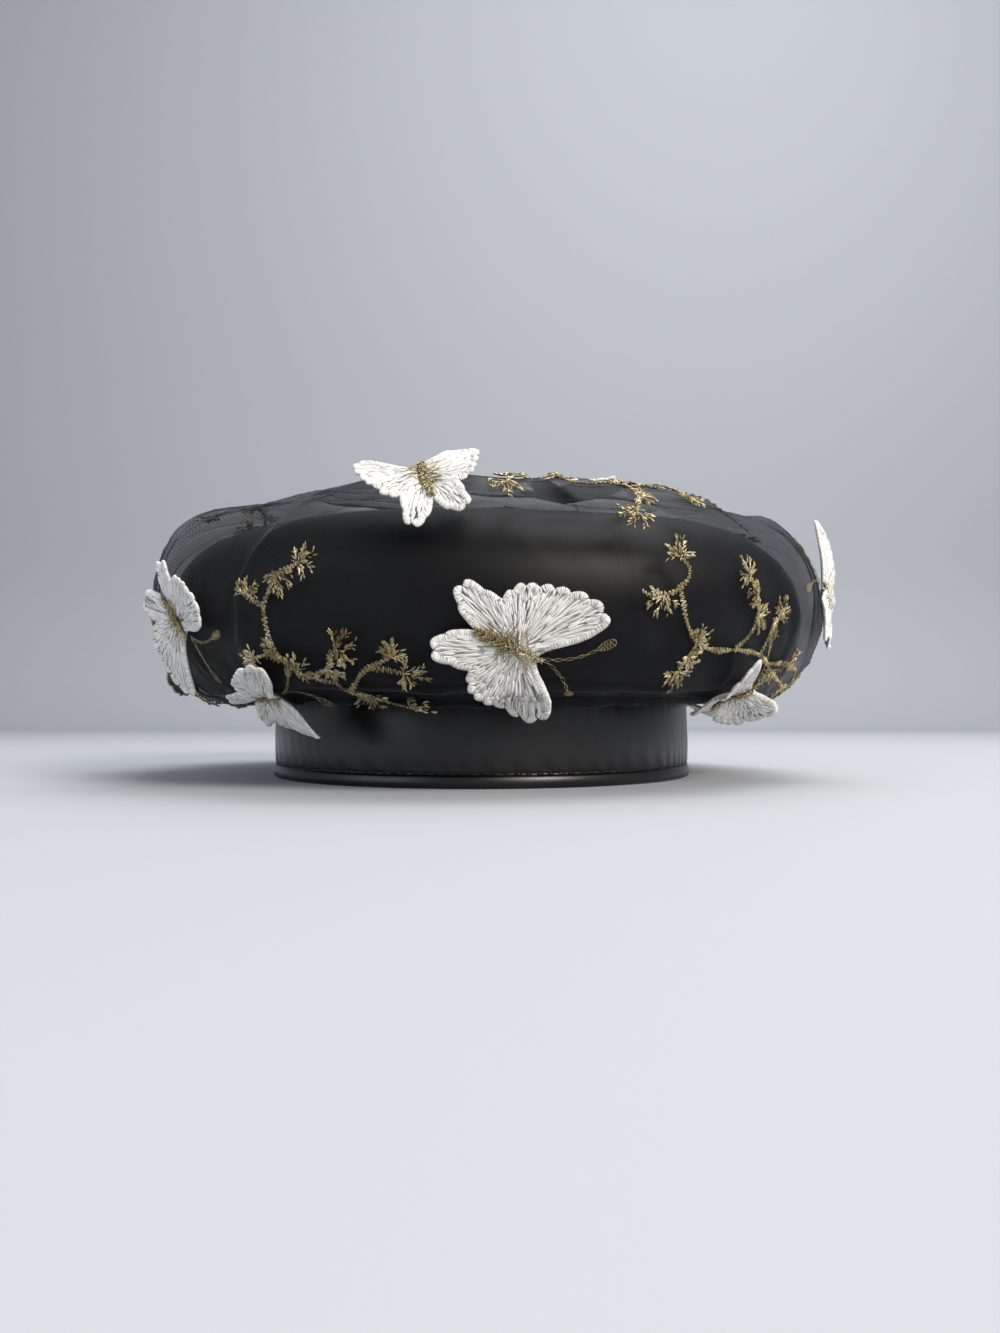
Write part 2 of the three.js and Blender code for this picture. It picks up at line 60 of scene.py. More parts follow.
# section of the crown: station, share of the band's radius, of the overhang, of the height
crownSection = np.array([
    (0.0, 1, -0.02, 0), (0.035, 1, 0.14, 0), (0.085, 1, 0.36, -0.07), (0.15, 1, 0.66, -0.05),
    (0.22, 1, 0.91, 0.11), (0.3, 1, 1, 0.36), (0.375, 0.985, 0.965, 0.6), (0.45, 0.9, 0.89, 0.78),
    (0.62, 0.66, 0.66, 0.92), (0.81, 0.33, 0.33, 0.985), (1.0, 0, 0, 1),
])

# overhang round the head: azimuth, share
overhangRound = np.array([
    (-180, 1.12), (-135, 1.04), (-90, 0.93), (-45, 1.02), (0, 0.98), (45, 1.1), (90, 1), (135, 1.06),
])

# space between satin and organza: station, share of the float
floatAlong = np.array([
    (0, 0.08), (0.085, 0.16), (0.22, 0.4), (0.3, 0.62), (0.45, 1), (0.62, 0.9), (0.81, 0.7), (1, 0.6),
])

# puffs of the organza and sags of the crown: azimuth, width, from, to, share
veilPuffs = [
    (-160, 26, 0.18, 0.55, 0.7), (-122, 22, 0.2, 0.6, 1), (-84, 24, 0.16, 0.5, 0.6),
    (-50, 20, 0.24, 0.6, 0.9), (-12, 24, 0.26, 0.66, 0.7), (26, 20, 0.22, 0.58, 1),
    (64, 26, 0.2, 0.55, 0.6), (104, 22, 0.22, 0.62, 0.9), (146, 26, 0.18, 0.6, 0.8),
]
crownDents = [
    (8, 46, 0.03, 0.19, 0.2), (40, 60, 0.42, 0.86, 0.55), (-100, 70, 0.4, 0.82, 0.7),
    (165, 60, 0.38, 0.84, 1),
]


def curveAlong(places, values, x, period=0):
    # smooth curve through a table's column
    x = np.asarray(x, float)
    if period:
        x = (x - places[0]) % period + places[0]
        knots = np.concatenate([[places[-1] - period], places, [places[0] + period, places[1] + period]])
        heights = np.concatenate([[values[-1]], values, [values[0], values[1]]])
    else:
        x = np.clip(x, places[0], places[-1])
        knots = np.concatenate([[2 * places[0] - places[1]], places, [2 * places[-1] - places[-2]]])
        heights = np.concatenate([[2 * values[0] - values[1]], values, [2 * values[-1] - values[-2]]])
    k = np.clip(np.searchsorted(knots, x, side="right") - 1, 1, len(knots) - 3)
    span = knots[k + 1] - knots[k]
    t = (x - knots[k]) / span
    leave = (heights[k + 1] - heights[k - 1]) / (knots[k + 1] - knots[k - 1]) * span
    arrive = (heights[k + 2] - heights[k]) / (knots[k + 2] - knots[k]) * span
    r = 1 - t
    return ((1 + 2 * t) * r * r * heights[k] + t * r * r * leave
            + t * t * (3 - 2 * t) * heights[k + 1] - t * t * r * arrive)


def swell(rows, azimuth, station):
    height = np.zeros(np.broadcast(azimuth, station).shape)
    for middle, width, low, high, share in rows:
        turn = (azimuth - middle + 180) % 360 - 180
        inside = (np.abs(turn) < width) & (station > low) & (station < high)
        across = np.cos(turn / width * np.pi / 2) ** 2
        up = np.sin((station - low) / (high - low) * np.pi) ** 2
        height = height + np.where(inside, share * across * up, 0)
    return height


def headRadius(azimuth, out):
    front = beret["headLength"] / 2 + out
    side = beret["headWidth"] / 2 + out
    turn = np.radians(azimuth)
    return front * side / np.hypot(side * np.cos(turn), front * np.sin(turn))


def roundPoint(azimuth, radius, z):
    turn = np.radians(azimuth)
    return np.stack([radius * np.sin(turn), -radius * np.cos(turn), z + 0 * turn], axis=-1)


def crownMiddle(azimuth, station):
    core = curveAlong(crownSection[:, 0], crownSection[:, 1], station)
    reach = curveAlong(crownSection[:, 0], crownSection[:, 2], station)
    rise = curveAlong(crownSection[:, 0], crownSection[:, 3], station)
    overhang = beret["overhang"] * curveAlong(overhangRound[:, 0], overhangRound[:, 1], azimuth, 360)
    base = beret["bandHeight"] + beret["seamGap"] + beret["satinWall"] / 2
    radius = core * headRadius(azimuth, beret["bandWall"] / 2) + reach * overhang
    sag = beret["dentDepth"] * swell(crownDents, azimuth, station)
    top = beret["crownHeight"] - beret["satinWall"] / 2 - base
    return roundPoint(azimuth, radius, base + rise * top - sag)


def unit(v):
    return v / np.maximum(np.linalg.norm(v, axis=-1, keepdims=True), 1e-12)


def crownNormal(azimuth, station):
    s = np.clip(station, 0.001, 0.998)
    around = crownMiddle(azimuth + 0.1, s) - crownMiddle(azimuth - 0.1, s)
    up = crownMiddle(azimuth, s + 0.001) - crownMiddle(azimuth, s - 0.001)
    return unit(np.cross(around, up))


def clothPoint(azimuth, station, height):
    return crownMiddle(azimuth, station) + crownNormal(azimuth, station) * np.asarray(height)[..., None]


def veilTop(azimuth, station):
    gap = beret["veilFloat"] * curveAlong(floatAlong[:, 0], floatAlong[:, 1], station)
    puff = beret["puffHeight"] * swell(veilPuffs, azimuth, station)
    return beret["satinWall"] / 2 + gap + puff + beret["veilWall"]


def wander(azimuth, station, seed, waves, size):
    # soft aperiodic ripple in -1..1, from a few sines with whole turns round the crown
    pick = random.Random(seed)
    total = 0
    for _ in range(waves):
        turns = pick.randint(3, 5 + size)
        rise = pick.uniform(-size, size)
        total = total + np.sin(np.radians(azimuth) * turns + station * rise * 2 + pick.uniform(0, 6.28))
    return total / waves


def ripple(points, seed, waves, shortest, longest):
    # soft ripple in -1..1 that runs through space in all directions, wavelengths in mm
    pick = np.random.default_rng(seed)
    total = 0
    for _ in range(waves):
        way = unit(pick.normal(size=3) * (1, 1, 0.8))
        wavelength = pick.uniform(shortest, longest)
        phase = pick.uniform(0, 6.28)
        total = total + np.sin(points @ way * 2 * math.pi / wavelength + phase)
    return total / waves


# organza's loose surface: long soft folds that fan out from the band, crisp creases, and pleats and small
# puckers at the seam; depths and spans between folds in mm, turns are counts round the crown
organza = {
    "foldDepth": 2.55, "foldSpan": (45, 120), "creaseHeight": 2, "creaseSpan": (50, 110),
    "fineHeight": 0.6, "fineSpan": (16, 50), "pleatDepth": 1.5, "pleatTurns": 34,
    "puckerDepth": 0.7, "puckerTurns": 92, "columns": 560, "rows": 150, "cutAcross": 0.405,
}
# level folds that the crown drops into over the front of the band: azimuths in degrees, heights in stations
swag = {"depth": 1.7, "middle": 8, "reach": 110, "low": 0.02, "height": 0.15, "folds": 5}


def swags(azimuth, station):
    turn = azimuth - swag["middle"]
    lane = (station - swag["low"] - 0.02 * np.cos(np.radians(azimuth - 10))) / swag["height"]
    front = np.clip(np.cos(np.radians(turn) * 0.8), 0, 1) * (np.abs(turn) < swag["reach"])
    inside = np.clip(lane, 0, 1)
    sway = 1.4 * wander(azimuth, 0 * station, 9, 3, 6)
    wave = np.sin(inside * math.pi * swag["folds"] + sway) * np.sin(inside * math.pi)
    return swag["depth"] * wave * front


def veilFolds(azimuth, station):
    spot = crownMiddle(azimuth, np.clip(station, 0, 0.999))
    fan = np.clip((station - 0.06) / 0.16, 0, 1)
    folds = organza["foldDepth"] * ripple(spot, 3, 5, *organza["foldSpan"]) * fan
    # ridges stand where a ripple crosses zero
    crease = 1 - np.abs(ripple(spot, 11, 3, *organza["creaseSpan"])) * 2.6
    folds = folds + organza["creaseHeight"] * np.clip(crease, 0, 1) ** 3 * fan
    fine = 1 - np.abs(ripple(spot, 17, 4, *organza["fineSpan"])) * 3
    folds = folds + organza["fineHeight"] * np.clip(fine, 0, 1) ** 2 * fan
    turn = np.radians(azimuth)
    pleat = np.sin(turn * organza["pleatTurns"] + 2.5 * wander(azimuth, station, 5, 4, 12))
    deep = 0.6 + 0.4 * wander(azimuth, 0 * station, 6, 3, 8)
    fade = np.exp(-np.clip(station - 0.03, 0, 1) / 0.075) * np.clip(station / 0.03, 0, 1)
    folds = folds + organza["pleatDepth"] * pleat * deep * fade
    lane = turn * organza["puckerTurns"] + 2.2 * wander(azimuth, 0 * station, 7, 4, 14)
    pucker = organza["puckerDepth"] * np.sin(lane) * np.exp(-np.clip(station - 0.012, 0, 1) / 0.03)
    return folds + pucker * np.clip(station / 0.02, 0.2, 1) + swags(azimuth, station)


def toMesh(points):
    # millimetres round the band's axis to metres in the frame
    return points * mm + np.array([axisX, axisY, 0])


# lookup of the overlay's smooth surface, for walking on it
gridAzimuth = np.arange(-190, 191, 1.0)
gridStation = np.linspace(0.008, 0.995, 260)
gridA, gridS = np.meshgrid(gridAzimuth, gridStation, indexing="ij")
surface = clothPoint(gridA, gridS, veilTop(gridA, gridS))
slopeRound = np.gradient(surface, gridAzimuth, axis=0)
slopeUp = np.gradient(surface, gridStation, axis=1)


def lookUp(table, azimuth, station):
    a = (azimuth + 180) % 360 - 180 - gridAzimuth[0]
    step = gridStation[1] - gridStation[0]
    s = np.clip((station - gridStation[0]) / step, 0, len(gridStation) - 1.001)
    i, j = a.astype(int), s.astype(int)
    u, v = (a - i)[..., None], (s - j)[..., None]
    return ((table[i, j] * (1 - u) + table[i + 1, j] * u) * (1 - v)
            + (table[i, j + 1] * (1 - u) + table[i + 1, j + 1] * u) * v)


def walker(azimuth, station, heading):
    a, s = np.atleast_1d(np.asarray(azimuth, float)), np.atleast_1d(np.asarray(station, float))
    around, up = lookUp(slopeRound, a, s), lookUp(slopeUp, a, s)
    east = unit(around)
    north = unit(np.cross(np.cross(around, up), around))
    turn = np.radians(np.asarray(heading, float))[..., None]
    return a, s, east * np.cos(turn) + north * np.sin(turn)


def stepOn(place, length, turn=0.0):
    a, s, facing = place
    around, up = lookUp(slopeRound, a, s), lookUp(slopeUp, a, s)
    normal = unit(np.cross(around, up))
    angle = np.radians(turn)
    facing = facing * np.cos(angle) + np.cross(normal, facing) * np.sin(angle)
    length = np.asarray(length, float)
    a = a + length * (facing * around).sum(-1) / (around * around).sum(-1)
    s = np.clip(s + length * (facing * up).sum(-1) / (up * up).sum(-1), 0.01, 0.99)
    normal = unit(np.cross(lookUp(slopeRound, a, s), lookUp(slopeUp, a, s)))
    facing = unit(facing - normal * (facing * normal).sum(-1, keepdims=True))
    return a, s, facing


def onCloth(root, x, y, height):
    # points at x ahead and y to the left of a walker, at a height over the organza
    x, y = np.asarray(x, float), np.asarray(y, float)
    a, s, facing = root
    count = 8
    place = (np.full(x.shape, a[0]), np.full(x.shape, s[0]), np.broadcast_to(facing[0], x.shape + (3,)))
    place = stepOn(place, 0 * x, np.degrees(np.arctan2(y, x))[..., None])
    for _ in range(count):
        place = stepOn(place, np.hypot(x, y) / count)
    a, s = place[0], place[1]
    return clothPoint(a, s, veilTop(a, s) + veilFolds(a, s) + height), a, s


# mesh helpers
def newObject(name, mesh, material):
    mesh.name = name
    piece = bpy.data.objects.new(name, mesh)
    bpy.context.scene.collection.objects.link(piece)
    mesh.materials.append(material)
    mesh.polygons.foreach_set("use_smooth", [True] * len(mesh.polygons))
    return piece


def bentGrid(columns, rows, bend, shaded=False):
    # a grid whose unit square is bent into shape; its edges are welded where they meet
    bm = bmesh.new()
    bmesh.ops.create_grid(bm, x_segments=columns, y_segments=rows, size=0.5)
    mesh = bpy.data.meshes.new("grid")
    bm.to_mesh(mesh)
    flat = np.empty(len(mesh.vertices) * 3)
    mesh.vertices.foreach_get("co", flat)
    flat = flat.reshape(-1, 3)[:, :2] + 0.5
    points = bend(flat[:, 0], flat[:, 1])
    if shaded:
        points, shade = points
        mesh.attributes.new("shade", "FLOAT", "POINT").data.foreach_set("value", shade)
    mesh.vertices.foreach_set("co", toMesh(points).ravel())
    corners = np.empty(len(mesh.loops), dtype=np.int32)
    mesh.loops.foreach_get("vertex_index", corners)
    mesh.uv_layers.new(name="cloth").data.foreach_set("uv", flat[corners].ravel())
    bm.clear()
    bm.from_mesh(mesh)
    bmesh.ops.remove_doubles(bm, verts=bm.verts, dist=2e-6)
    if bm.calc_volume(signed=True) < 0:
        bmesh.ops.reverse_faces(bm, faces=bm.faces)
    bm.to_mesh(mesh)
    bm.free()
    return mesh


def stitchMesh(rows, darkest=0.7):
    # grains of thread: rows of starts, ends, normals, width, thickness in millimetres, and at times a share
    # of painted shade
    bm = bmesh.new()
    upright = Matrix.Rotation(math.pi / 2, 4, "Y")
    bmesh.ops.create_uvsphere(bm, u_segments=5, v_segments=4, radius=1, matrix=upright)
    grain = bpy.data.meshes.new("grain")
    bm.to_mesh(grain)
    shape = np.array([v.co for v in bm.verts])
    bm.clear()
    starts, ends, normals = (np.concatenate([row[k] for row in rows]) for k in range(3))
    sizes = np.concatenate([np.full((len(row[0]), 2), row[3:5]) / 2 for row in rows])
    for _ in starts:
        bm.from_mesh(grain)
    mesh = bpy.data.meshes.new("stitches")
    bm.to_mesh(mesh)
    bm.free()
    half = (ends - starts) / 2
    across = unit(np.cross(normals, half)) * sizes[:, :1]
    up = unit(np.cross(half, across)) * sizes[:, 1:]
    frames = np.stack([half, across, up], axis=1)
    points = np.einsum("vk,nkc->nvc", shape, frames) + ((starts + ends) / 2)[:, None]
    mesh.vertices.foreach_set("co", toMesh(points).ravel())
    # random tone from stitch to stitch, times each row's painted shade
    tone = np.random.default_rng(len(starts)).uniform(darkest, 1, len(starts))
    tone = tone * np.concatenate([np.full(len(row[0]), row[5] if len(row) > 5 else 1) for row in rows])
    mesh.attributes.new("shade", "FLOAT", "POINT").data.foreach_set("value", np.repeat(tone, len(shape)))
    return mesh


# materials
def linear(code):
    channels = [int(code[k:k + 2], 16) / 255 for k in (1, 3, 5)]
    return [c / 12.92 if c <= 0.04045 else ((c + 0.055) / 1.055) ** 2.4 for c in channels] + [1]


def newMaterial(name):
    material = bpy.data.materials.new(name)
    material.use_nodes = True
    return material, material.node_tree, material.node_tree.nodes["Principled BSDF"]


def fill(tree, node, settings=None, links=None):
    # settings fill fields or sockets, links join sockets to other nodes' outputs
    for key, value in (settings or {}).items():
        if isinstance(key, int) or key in node.inputs:
            node.inputs[key].default_value = value
        else:
            setattr(node, key, value)
    for key, source in (links or {}).items():
        tree.links.new(source, node.inputs[key])
    return node


def addNode(tree, kind, settings=None, links=None):
    return fill(tree, tree.nodes.new(kind), settings, links)


def ramp(tree, factor, stops):
    node = addNode(tree, "ShaderNodeValToRGB", links={"Fac": factor})
    elements = node.color_ramp.elements
    while len(elements) < len(stops):
        elements.new(0.5)
    for element, (place, color) in zip(elements, stops):
        element.position, element.color = place, linear(color)
    return node.outputs["Color"]


def perMetre(size):
    # cells of a pattern in a metre, from the size of one in millimetres
    return 1 / (size * mm)


# duchesse satin, woven and calendered: its warp floats are 0.08 mm wide, drawn 0.39 mm wide so that they show
satin = {"cloud": 26.3, "float": 0.385, "streak": 5, "relief": 0.06, "roughnessRange": 0.12}


def blackSatin(name, smoothest, shine):
    # the floats give the eye a soft streaked sheen over a deep black
    material, tree, surface = newMaterial(name)
    where = addNode(tree, "ShaderNodeTexCoord").outputs["Object"]
    cloud = addNode(tree, "ShaderNodeTexNoise", {"Scale": perMetre(satin["cloud"]), "Detail": 3},
                    {"Vector": where})
    stretch = addNode(tree, "ShaderNodeMapping", {"Scale": (1, 1, satin["streak"])}, {"Vector": where})
    floats = addNode(tree, "ShaderNodeTexNoise", {"Scale": perMetre(satin["float"]), "Detail": 2},
                     {"Vector": stretch.outputs[0]})
    color = ramp(tree, cloud.outputs[0], [(0.3, "#030304"), (0.7, "#08080b")])
    roughest = smoothest + satin["roughnessRange"]
    rough = addNode(tree, "ShaderNodeMapRange", {"To Min": smoothest, "To Max": roughest},
                    {"Value": cloud.outputs[0]})
    bump = addNode(tree, "ShaderNodeBump", {"Strength": 0.05, "Distance": satin["relief"] * mm},
                   {"Height": floats.outputs[0]})
    fill(tree, surface, {"Specular IOR Level": shine, "Anisotropic": 0.4, "Sheen Weight": 0.06,
                         "Sheen Roughness": 0.35, "Sheen Tint": linear("#8a8fa0")},
         {"Base Color": color, "Roughness": rough.outputs[0], "Normal": bump.outputs[0]})
    return material


# silk organza, an open plain weave: threads lie 0.12 mm apart, drawn every 0.9 mm so that the weave shows
sheerCloth = {
    "threadGap": 0.9, "grainTurn": 0.6, "patch": 38.5, "sheerest": 0.26, "densest": 0.86,
    "threadShare": 0.16, "patchShare": 0.3, "relief": 0.1,
}


def blackOrganza():
    # it greys what lies under it, and goes denser to the eye where it turns away or doubles
    material, tree, surface = newMaterial("blackSilkOrganza")
    where = addNode(tree, "ShaderNodeUVMap", {"uv_map": "cloth"}).outputs[0]
    # the map is in metres: first to millimetres, then a wave of Blender's 20 radians a unit to the thread gap
    turned = addNode(tree, "ShaderNodeMapping",
                     {"Scale": (perMetre(1), perMetre(1), 1), "Rotation": (0, 0, sheerCloth["grainTurn"])},
                     {"Vector": where})
    waveScale = 2 * math.pi / 20 / sheerCloth["threadGap"]
    weave = addNode(tree, "ShaderNodeTexWave", {"Scale": waveScale, "Distortion": 1.5, "Detail": 1},
                    {"Vector": turned.outputs[0]})
    cloud = addNode(tree, "ShaderNodeTexNoise",
                    {"Scale": perMetre(sheerCloth["patch"]), "Detail": 4, "Roughness": 0.6},
                    {"Vector": addNode(tree, "ShaderNodeTexCoord").outputs["Object"]})
    edge = addNode(tree, "ShaderNodeLayerWeight", {"Blend": 0.35})
    span = {"From Max": 0.95, "To Min": sheerCloth["sheerest"], "To Max": sheerCloth["densest"]}
    cover = addNode(tree, "ShaderNodeMapRange", span, {"Value": edge.outputs["Facing"]})
    # weave and patches add to the cover as much as they take away
    parts = []
    for share, source in ((sheerCloth["threadShare"], weave.outputs["Fac"]),
                          (sheerCloth["patchShare"], cloud.outputs[0])):
        part = addNode(tree, "ShaderNodeMath", {"operation": "MULTIPLY_ADD", 1: share, 2: -share / 2},
                       {0: source})
        parts.append(part.outputs[0])
    both = addNode(tree, "ShaderNodeMath", {"operation": "ADD"}, {0: parts[0], 1: parts[1]})
    alpha = addNode(tree, "ShaderNodeMath", {"operation": "ADD", "use_clamp": True},
                    {0: both.outputs[0], 1: cover.outputs[0]})
    color = ramp(tree, cloud.outputs[0], [(0.25, "#0a0b0e"), (0.75, "#1b1c21")])
    bump = addNode(tree, "ShaderNodeBump", {"Strength": 0.2, "Distance": sheerCloth["relief"] * mm},
                   {"Height": weave.outputs["Fac"]})
    fill(tree, surface, {"Roughness": 0.5, "Specular IOR Level": 0.12, "Sheen Weight": 0.2,
                         "Sheen Roughness": 0.4, "Sheen Tint": linear("#9ea2ad")},
         {"Base Color": color, "Alpha": alpha.outputs[0], "Normal": bump.outputs[0]})
    return material


# mercerised cotton, spun: one twist of the thread is about 1.1 mm long
cotton = {"twist": 1.11, "cloud": 16.7, "relief": 0.12}


def whiteThread():
    # off-white and matt, darkened by the shade attribute: random tone from stitch to stitch, and painted
    # shade in the gaps between the threads
    material, tree, surface = newMaterial("whiteCottonThread")
    where = addNode(tree, "ShaderNodeTexCoord").outputs["Object"]
    fibre = addNode(tree, "ShaderNodeTexNoise", {"Scale": perMetre(cotton["twist"]), "Detail": 2},
                    {"Vector": where})
    cloud = addNode(tree, "ShaderNodeTexNoise", {"Scale": perMetre(cotton["cloud"]), "Detail": 2},
                    {"Vector": where})
    shade = addNode(tree, "ShaderNodeAttribute", {"attribute_name": "shade"}).outputs["Fac"]
    tone = ramp(tree, cloud.outputs[0], [(0.3, "#e6e4df"), (0.7, "#fbfaf7")])
    # darkens toward this grey: random stitch tone, and painted shade in the stitch gaps
    mix = addNode(tree, "ShaderNodeMix", {"data_type": "RGBA", 6: linear("#2a2928")}, {0: shade, 7: tone})
    bump = addNode(tree, "ShaderNodeBump", {"Strength": 0.5, "Distance": cotton["relief"] * mm},
                   {"Height": fibre.outputs[0]})
    fill(tree, surface, {"Roughness": 0.62, "Specular IOR Level": 0.3, "Sheen Weight": 0.25},
         {"Base Color": mix.outputs[2], "Normal": bump.outputs[0]})
    return material


# antique gilt thread, a brass strip wound on a core: its turns lie 0.2 mm apart, drawn 0.67 mm apart to glint
gilt = {"turn": 0.667, "cloud": 8.33, "relief": 0.12}


def goldThread():
    # dull brass with bright flecks where a turn of the strip meets the light
    material, tree, surface = newMaterial("antiqueGiltThread")
    where = addNode(tree, "ShaderNodeTexCoord").outputs["Object"]
    fleck = addNode(tree, "ShaderNodeTexNoise",
                    {"Scale": perMetre(gilt["turn"]), "Detail": 2, "Roughness": 0.7}, {"Vector": where})
    cloud = addNode(tree, "ShaderNodeTexNoise", {"Scale": perMetre(gilt["cloud"]), "Detail": 2},
                    {"Vector": where})
    blend = addNode(tree, "ShaderNodeMath", {"operation": "MULTIPLY_ADD", 1: 0.6}, {0: fleck.outputs[0]})
    part = addNode(tree, "ShaderNodeMath", {"operation": "MULTIPLY", 1: 0.4}, {0: cloud.outputs[0]})
    tree.links.new(part.outputs[0], blend.inputs[2])
    color = ramp(tree, blend.outputs[0], [(0.3, "#5e5132"), (0.5, "#bcaa7a"), (0.62, "#fff2cf")])
    shade = addNode(tree, "ShaderNodeAttribute", {"attribute_name": "shade"}).outputs["Fac"]
    # darkens toward this brown: random stitch tone, and painted shade on the cords and cores under the turns
    mix = addNode(tree, "ShaderNodeMix", {"data_type": "RGBA", 6: linear("#1d170c")}, {0: shade, 7: color})
    bump = addNode(tree, "ShaderNodeBump", {"Strength": 0.6, "Distance": gilt["relief"] * mm},
                   {"Height": fleck.outputs[0]})
    fill(tree, surface, {"Metallic": 0.7, "Roughness": 0.36},
         {"Base Color": mix.outputs[2], "Normal": bump.outputs[0]})
    return material


crownSatin = blackSatin("blackSatinUnderOrganza", 0.42, 0.3)
bandSatin = blackSatin("blackDuchesseSatin", 0.27, 0.5)
sheer, white, gold = blackOrganza(), whiteThread(), goldThread()
print("materials ready")


# camera at the photograph's azimuth, as low as the floor allows
view = {"distance": 0.412, "height": 0.022, "aimHeight": 0.043, "focal": 27.1, "aside": 0.006}
camera = bpy.data.objects.new("camera", bpy.data.cameras.new("camera"))
bpy.context.scene.collection.objects.link(camera)
camera.location = (view["aside"], -view["distance"], view["height"])
aim = Vector((view["aside"], 0, view["aimHeight"])) - camera.location
camera.rotation_euler = aim.to_track_quat("-Z", "Y").to_euler()
camera.data.lens = view["focal"]
camera.data.sensor_width = 36
camera.data.clip_start = 0.01
bpy.context.scene.camera = camera
bpy.context.scene.view_settings.view_transform = "Standard"


def studio():
    # pale sweep that rises behind the beret, and soft lights from the upper right and the left
    sweep = {"width": 14, "front": 4, "depth": 5.4, "bend": 0.35, "wall": 4, "color": "#b9bcc2"}
    bm = bmesh.new()
    bmesh.ops.create_grid(bm, x_segments=2, y_segments=160, size=0.5)
    quarter = sweep["bend"] * math.pi / 2
    for vert in bm.verts:
        along = (vert.co.y + 0.5) * (sweep["depth"] + quarter + sweep["wall"])
        rise = max(0, along - sweep["depth"])
        angle = min(rise / sweep["bend"], math.pi / 2)
        y = min(along, sweep["depth"]) + sweep["bend"] * math.sin(angle) - sweep["front"]
        z = sweep["bend"] * (1 - math.cos(angle)) + max(0, rise - quarter)
        vert.co = (vert.co.x * sweep["width"], y, z)
    mesh = bpy.data.meshes.new("floor")
    bm.to_mesh(mesh)
    bm.free()
    # matt seamless paper: it gives the eye a soft shadow and no gloss
    material, tree, surface = newMaterial("paleStudioPaper")
    fill(tree, surface, {"Base Color": linear(sweep["color"]), "Roughness": 0.9})
    floor = newObject("floor", mesh, material)
    world = bpy.data.worlds.new("softRoom")
    world.use_nodes = True
    fill(world.node_tree, world.node_tree.nodes["Background"], {"Color": linear("#d5d8de"), "Strength": 0.5})
    bpy.context.scene.world = world
    lamps = [
        ("keyLight", (0.75, -0.95, 0.7), 0.5, 17, "#fff8ee"),
        ("fillLight", (-0.9, -0.6, 0.45), 0.7, 2.5, "#e8eefc"),
        ("topLight", (0.2, 0.35, 1.1), 0.7, 4, "#ffffff"),
        ("wallLight", (0.6, 0.2, 1.9), 1.4, 26, "#ffffff"),
    ]
    for name, place, size, power, color in lamps:
        data = bpy.data.lights.new(name, "AREA")
        data.size, data.energy, data.color = size, power, linear(color)[:3]
        lamp = bpy.data.objects.new(name, data)
        lamp.location = place
        goal = Vector((0, 1.7, 0.6)) if name == "wallLight" else Vector((0, 0, 0.05))
        lamp.rotation_euler = (goal - Vector(place)).to_track_quat("-Z", "Y").to_euler()
        bpy.context.scene.collection.objects.link(lamp)


studio()
print("studio ready")

# satin crown: outer and inner faces as one closed shell
crown = {"columns": 220, "rows": 150, "foldDepth": 1, "foldSpan": (40, 110)}


def crownShape(u, v):
    azimuth = u * 360 - 180
    outer = v < 0.5
    station = np.where(outer, 1 - v * 2, v * 2 - 1)
    fold = crown["foldDepth"] * ripple(crownMiddle(azimuth, station), 21, 4, *crown["foldSpan"])
    side = np.where(outer, 1, -1) * beret["satinWall"] / 2
    edge = np.clip((v - 0.485) / 0.03, 0, 1)
    side = np.where(np.abs(v - 0.5) < 0.015, beret["satinWall"] / 2 * np.cos(edge * np.pi), side)
    station = np.where(np.abs(v - 0.5) < 0.015, 0, station)
    fold = fold * np.clip(station * 8, 0, 1) + 0.8 * swags(azimuth, station)
    return clothPoint(azimuth, station, side * 0.98 + fold)


def buildCrown():
    piece = newObject("crownSatin", bentGrid(crown["columns"], crown["rows"], crownShape), crownSatin)
    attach(piece, "root")
    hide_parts("crown")


buildCrown()
print("crown ready")


# organza overlay: one sheer layer from the band's seam over the top
def veilStation(v):
    return 0.004 + 0.996 * v ** 1.05


def veilShape(u, v):
    azimuth, station = u * 360 - 180, veilStation(v)
    height = veilTop(azimuth, station) - 0.4 + veilFolds(azimuth, station)
    tuck = np.clip((0.02 - station) / 0.02, 0, 1)
    return clothPoint(azimuth, station, height * (1 - 0.5 * tuck))


def buildVeil():
    mesh = bentGrid(organza["columns"], organza["rows"], veilShape)
    # the cloth's own threads run straight across the top, so its map is unrolled from the top's middle
    stations = np.linspace(0, 1, 200)
    section = crownMiddle(0 * stations, stations)
    steps = np.linalg.norm(np.diff(section, axis=0), axis=1)
    run = np.concatenate([[0], np.cumsum(steps)])
    cloth = np.empty(len(mesh.loops) * 2)
    mesh.uv_layers["cloth"].data.foreach_get("uv", cloth)
    turn = cloth[::2] * 2 * math.pi
    radius = run[-1] - np.interp(veilStation(cloth[1::2]), stations, run)
    unrolled = np.stack([radius * np.sin(turn), radius * np.cos(turn)], axis=-1) * mm
    mesh.uv_layers["cloth"].data.foreach_set("uv", unrolled.ravel())
    piece = newObject("organzaOverlay", mesh, sheer)
    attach(piece, "root")
    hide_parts("organza_overlay")
    return piece


# cut as a round of cloth and gathered into the band's seam
veil = buildVeil()
print("organza ready, area", round(sum(face.area for face in veil.data.polygons), 4))

# head band: satin folded double, with a rolled lower edge held by a row of stitches
band = {
    "columns": 640, "rows": 68, "rippleDepth": 0.5, "dragDepth": 0.2, "gatherDepth": 0.22,
    "stitchLength": 2.3, "stitchPitch": 3.3, "stitchHeight": 4.6, "stitchWidth": 0.62, "stitchThick": 0.6,
}
# section of the band, a loop round its wall: share of the wall outwards, share of the height
bandSection = np.array([
    (0.3, 0), (1, 0), (1.2, 0.025), (1.24, 0.06), (1.12, 0.105), (0.9, 0.135), (0.98, 0.17), (1.1, 0.35),
    (1.06, 0.62), (0.96, 0.86), (0.84, 0.96), (0.5, 1), (0.1, 0.98), (0, 0.9), (0, 0.5), (0, 0.1),
    (0.08, 0.02),
])


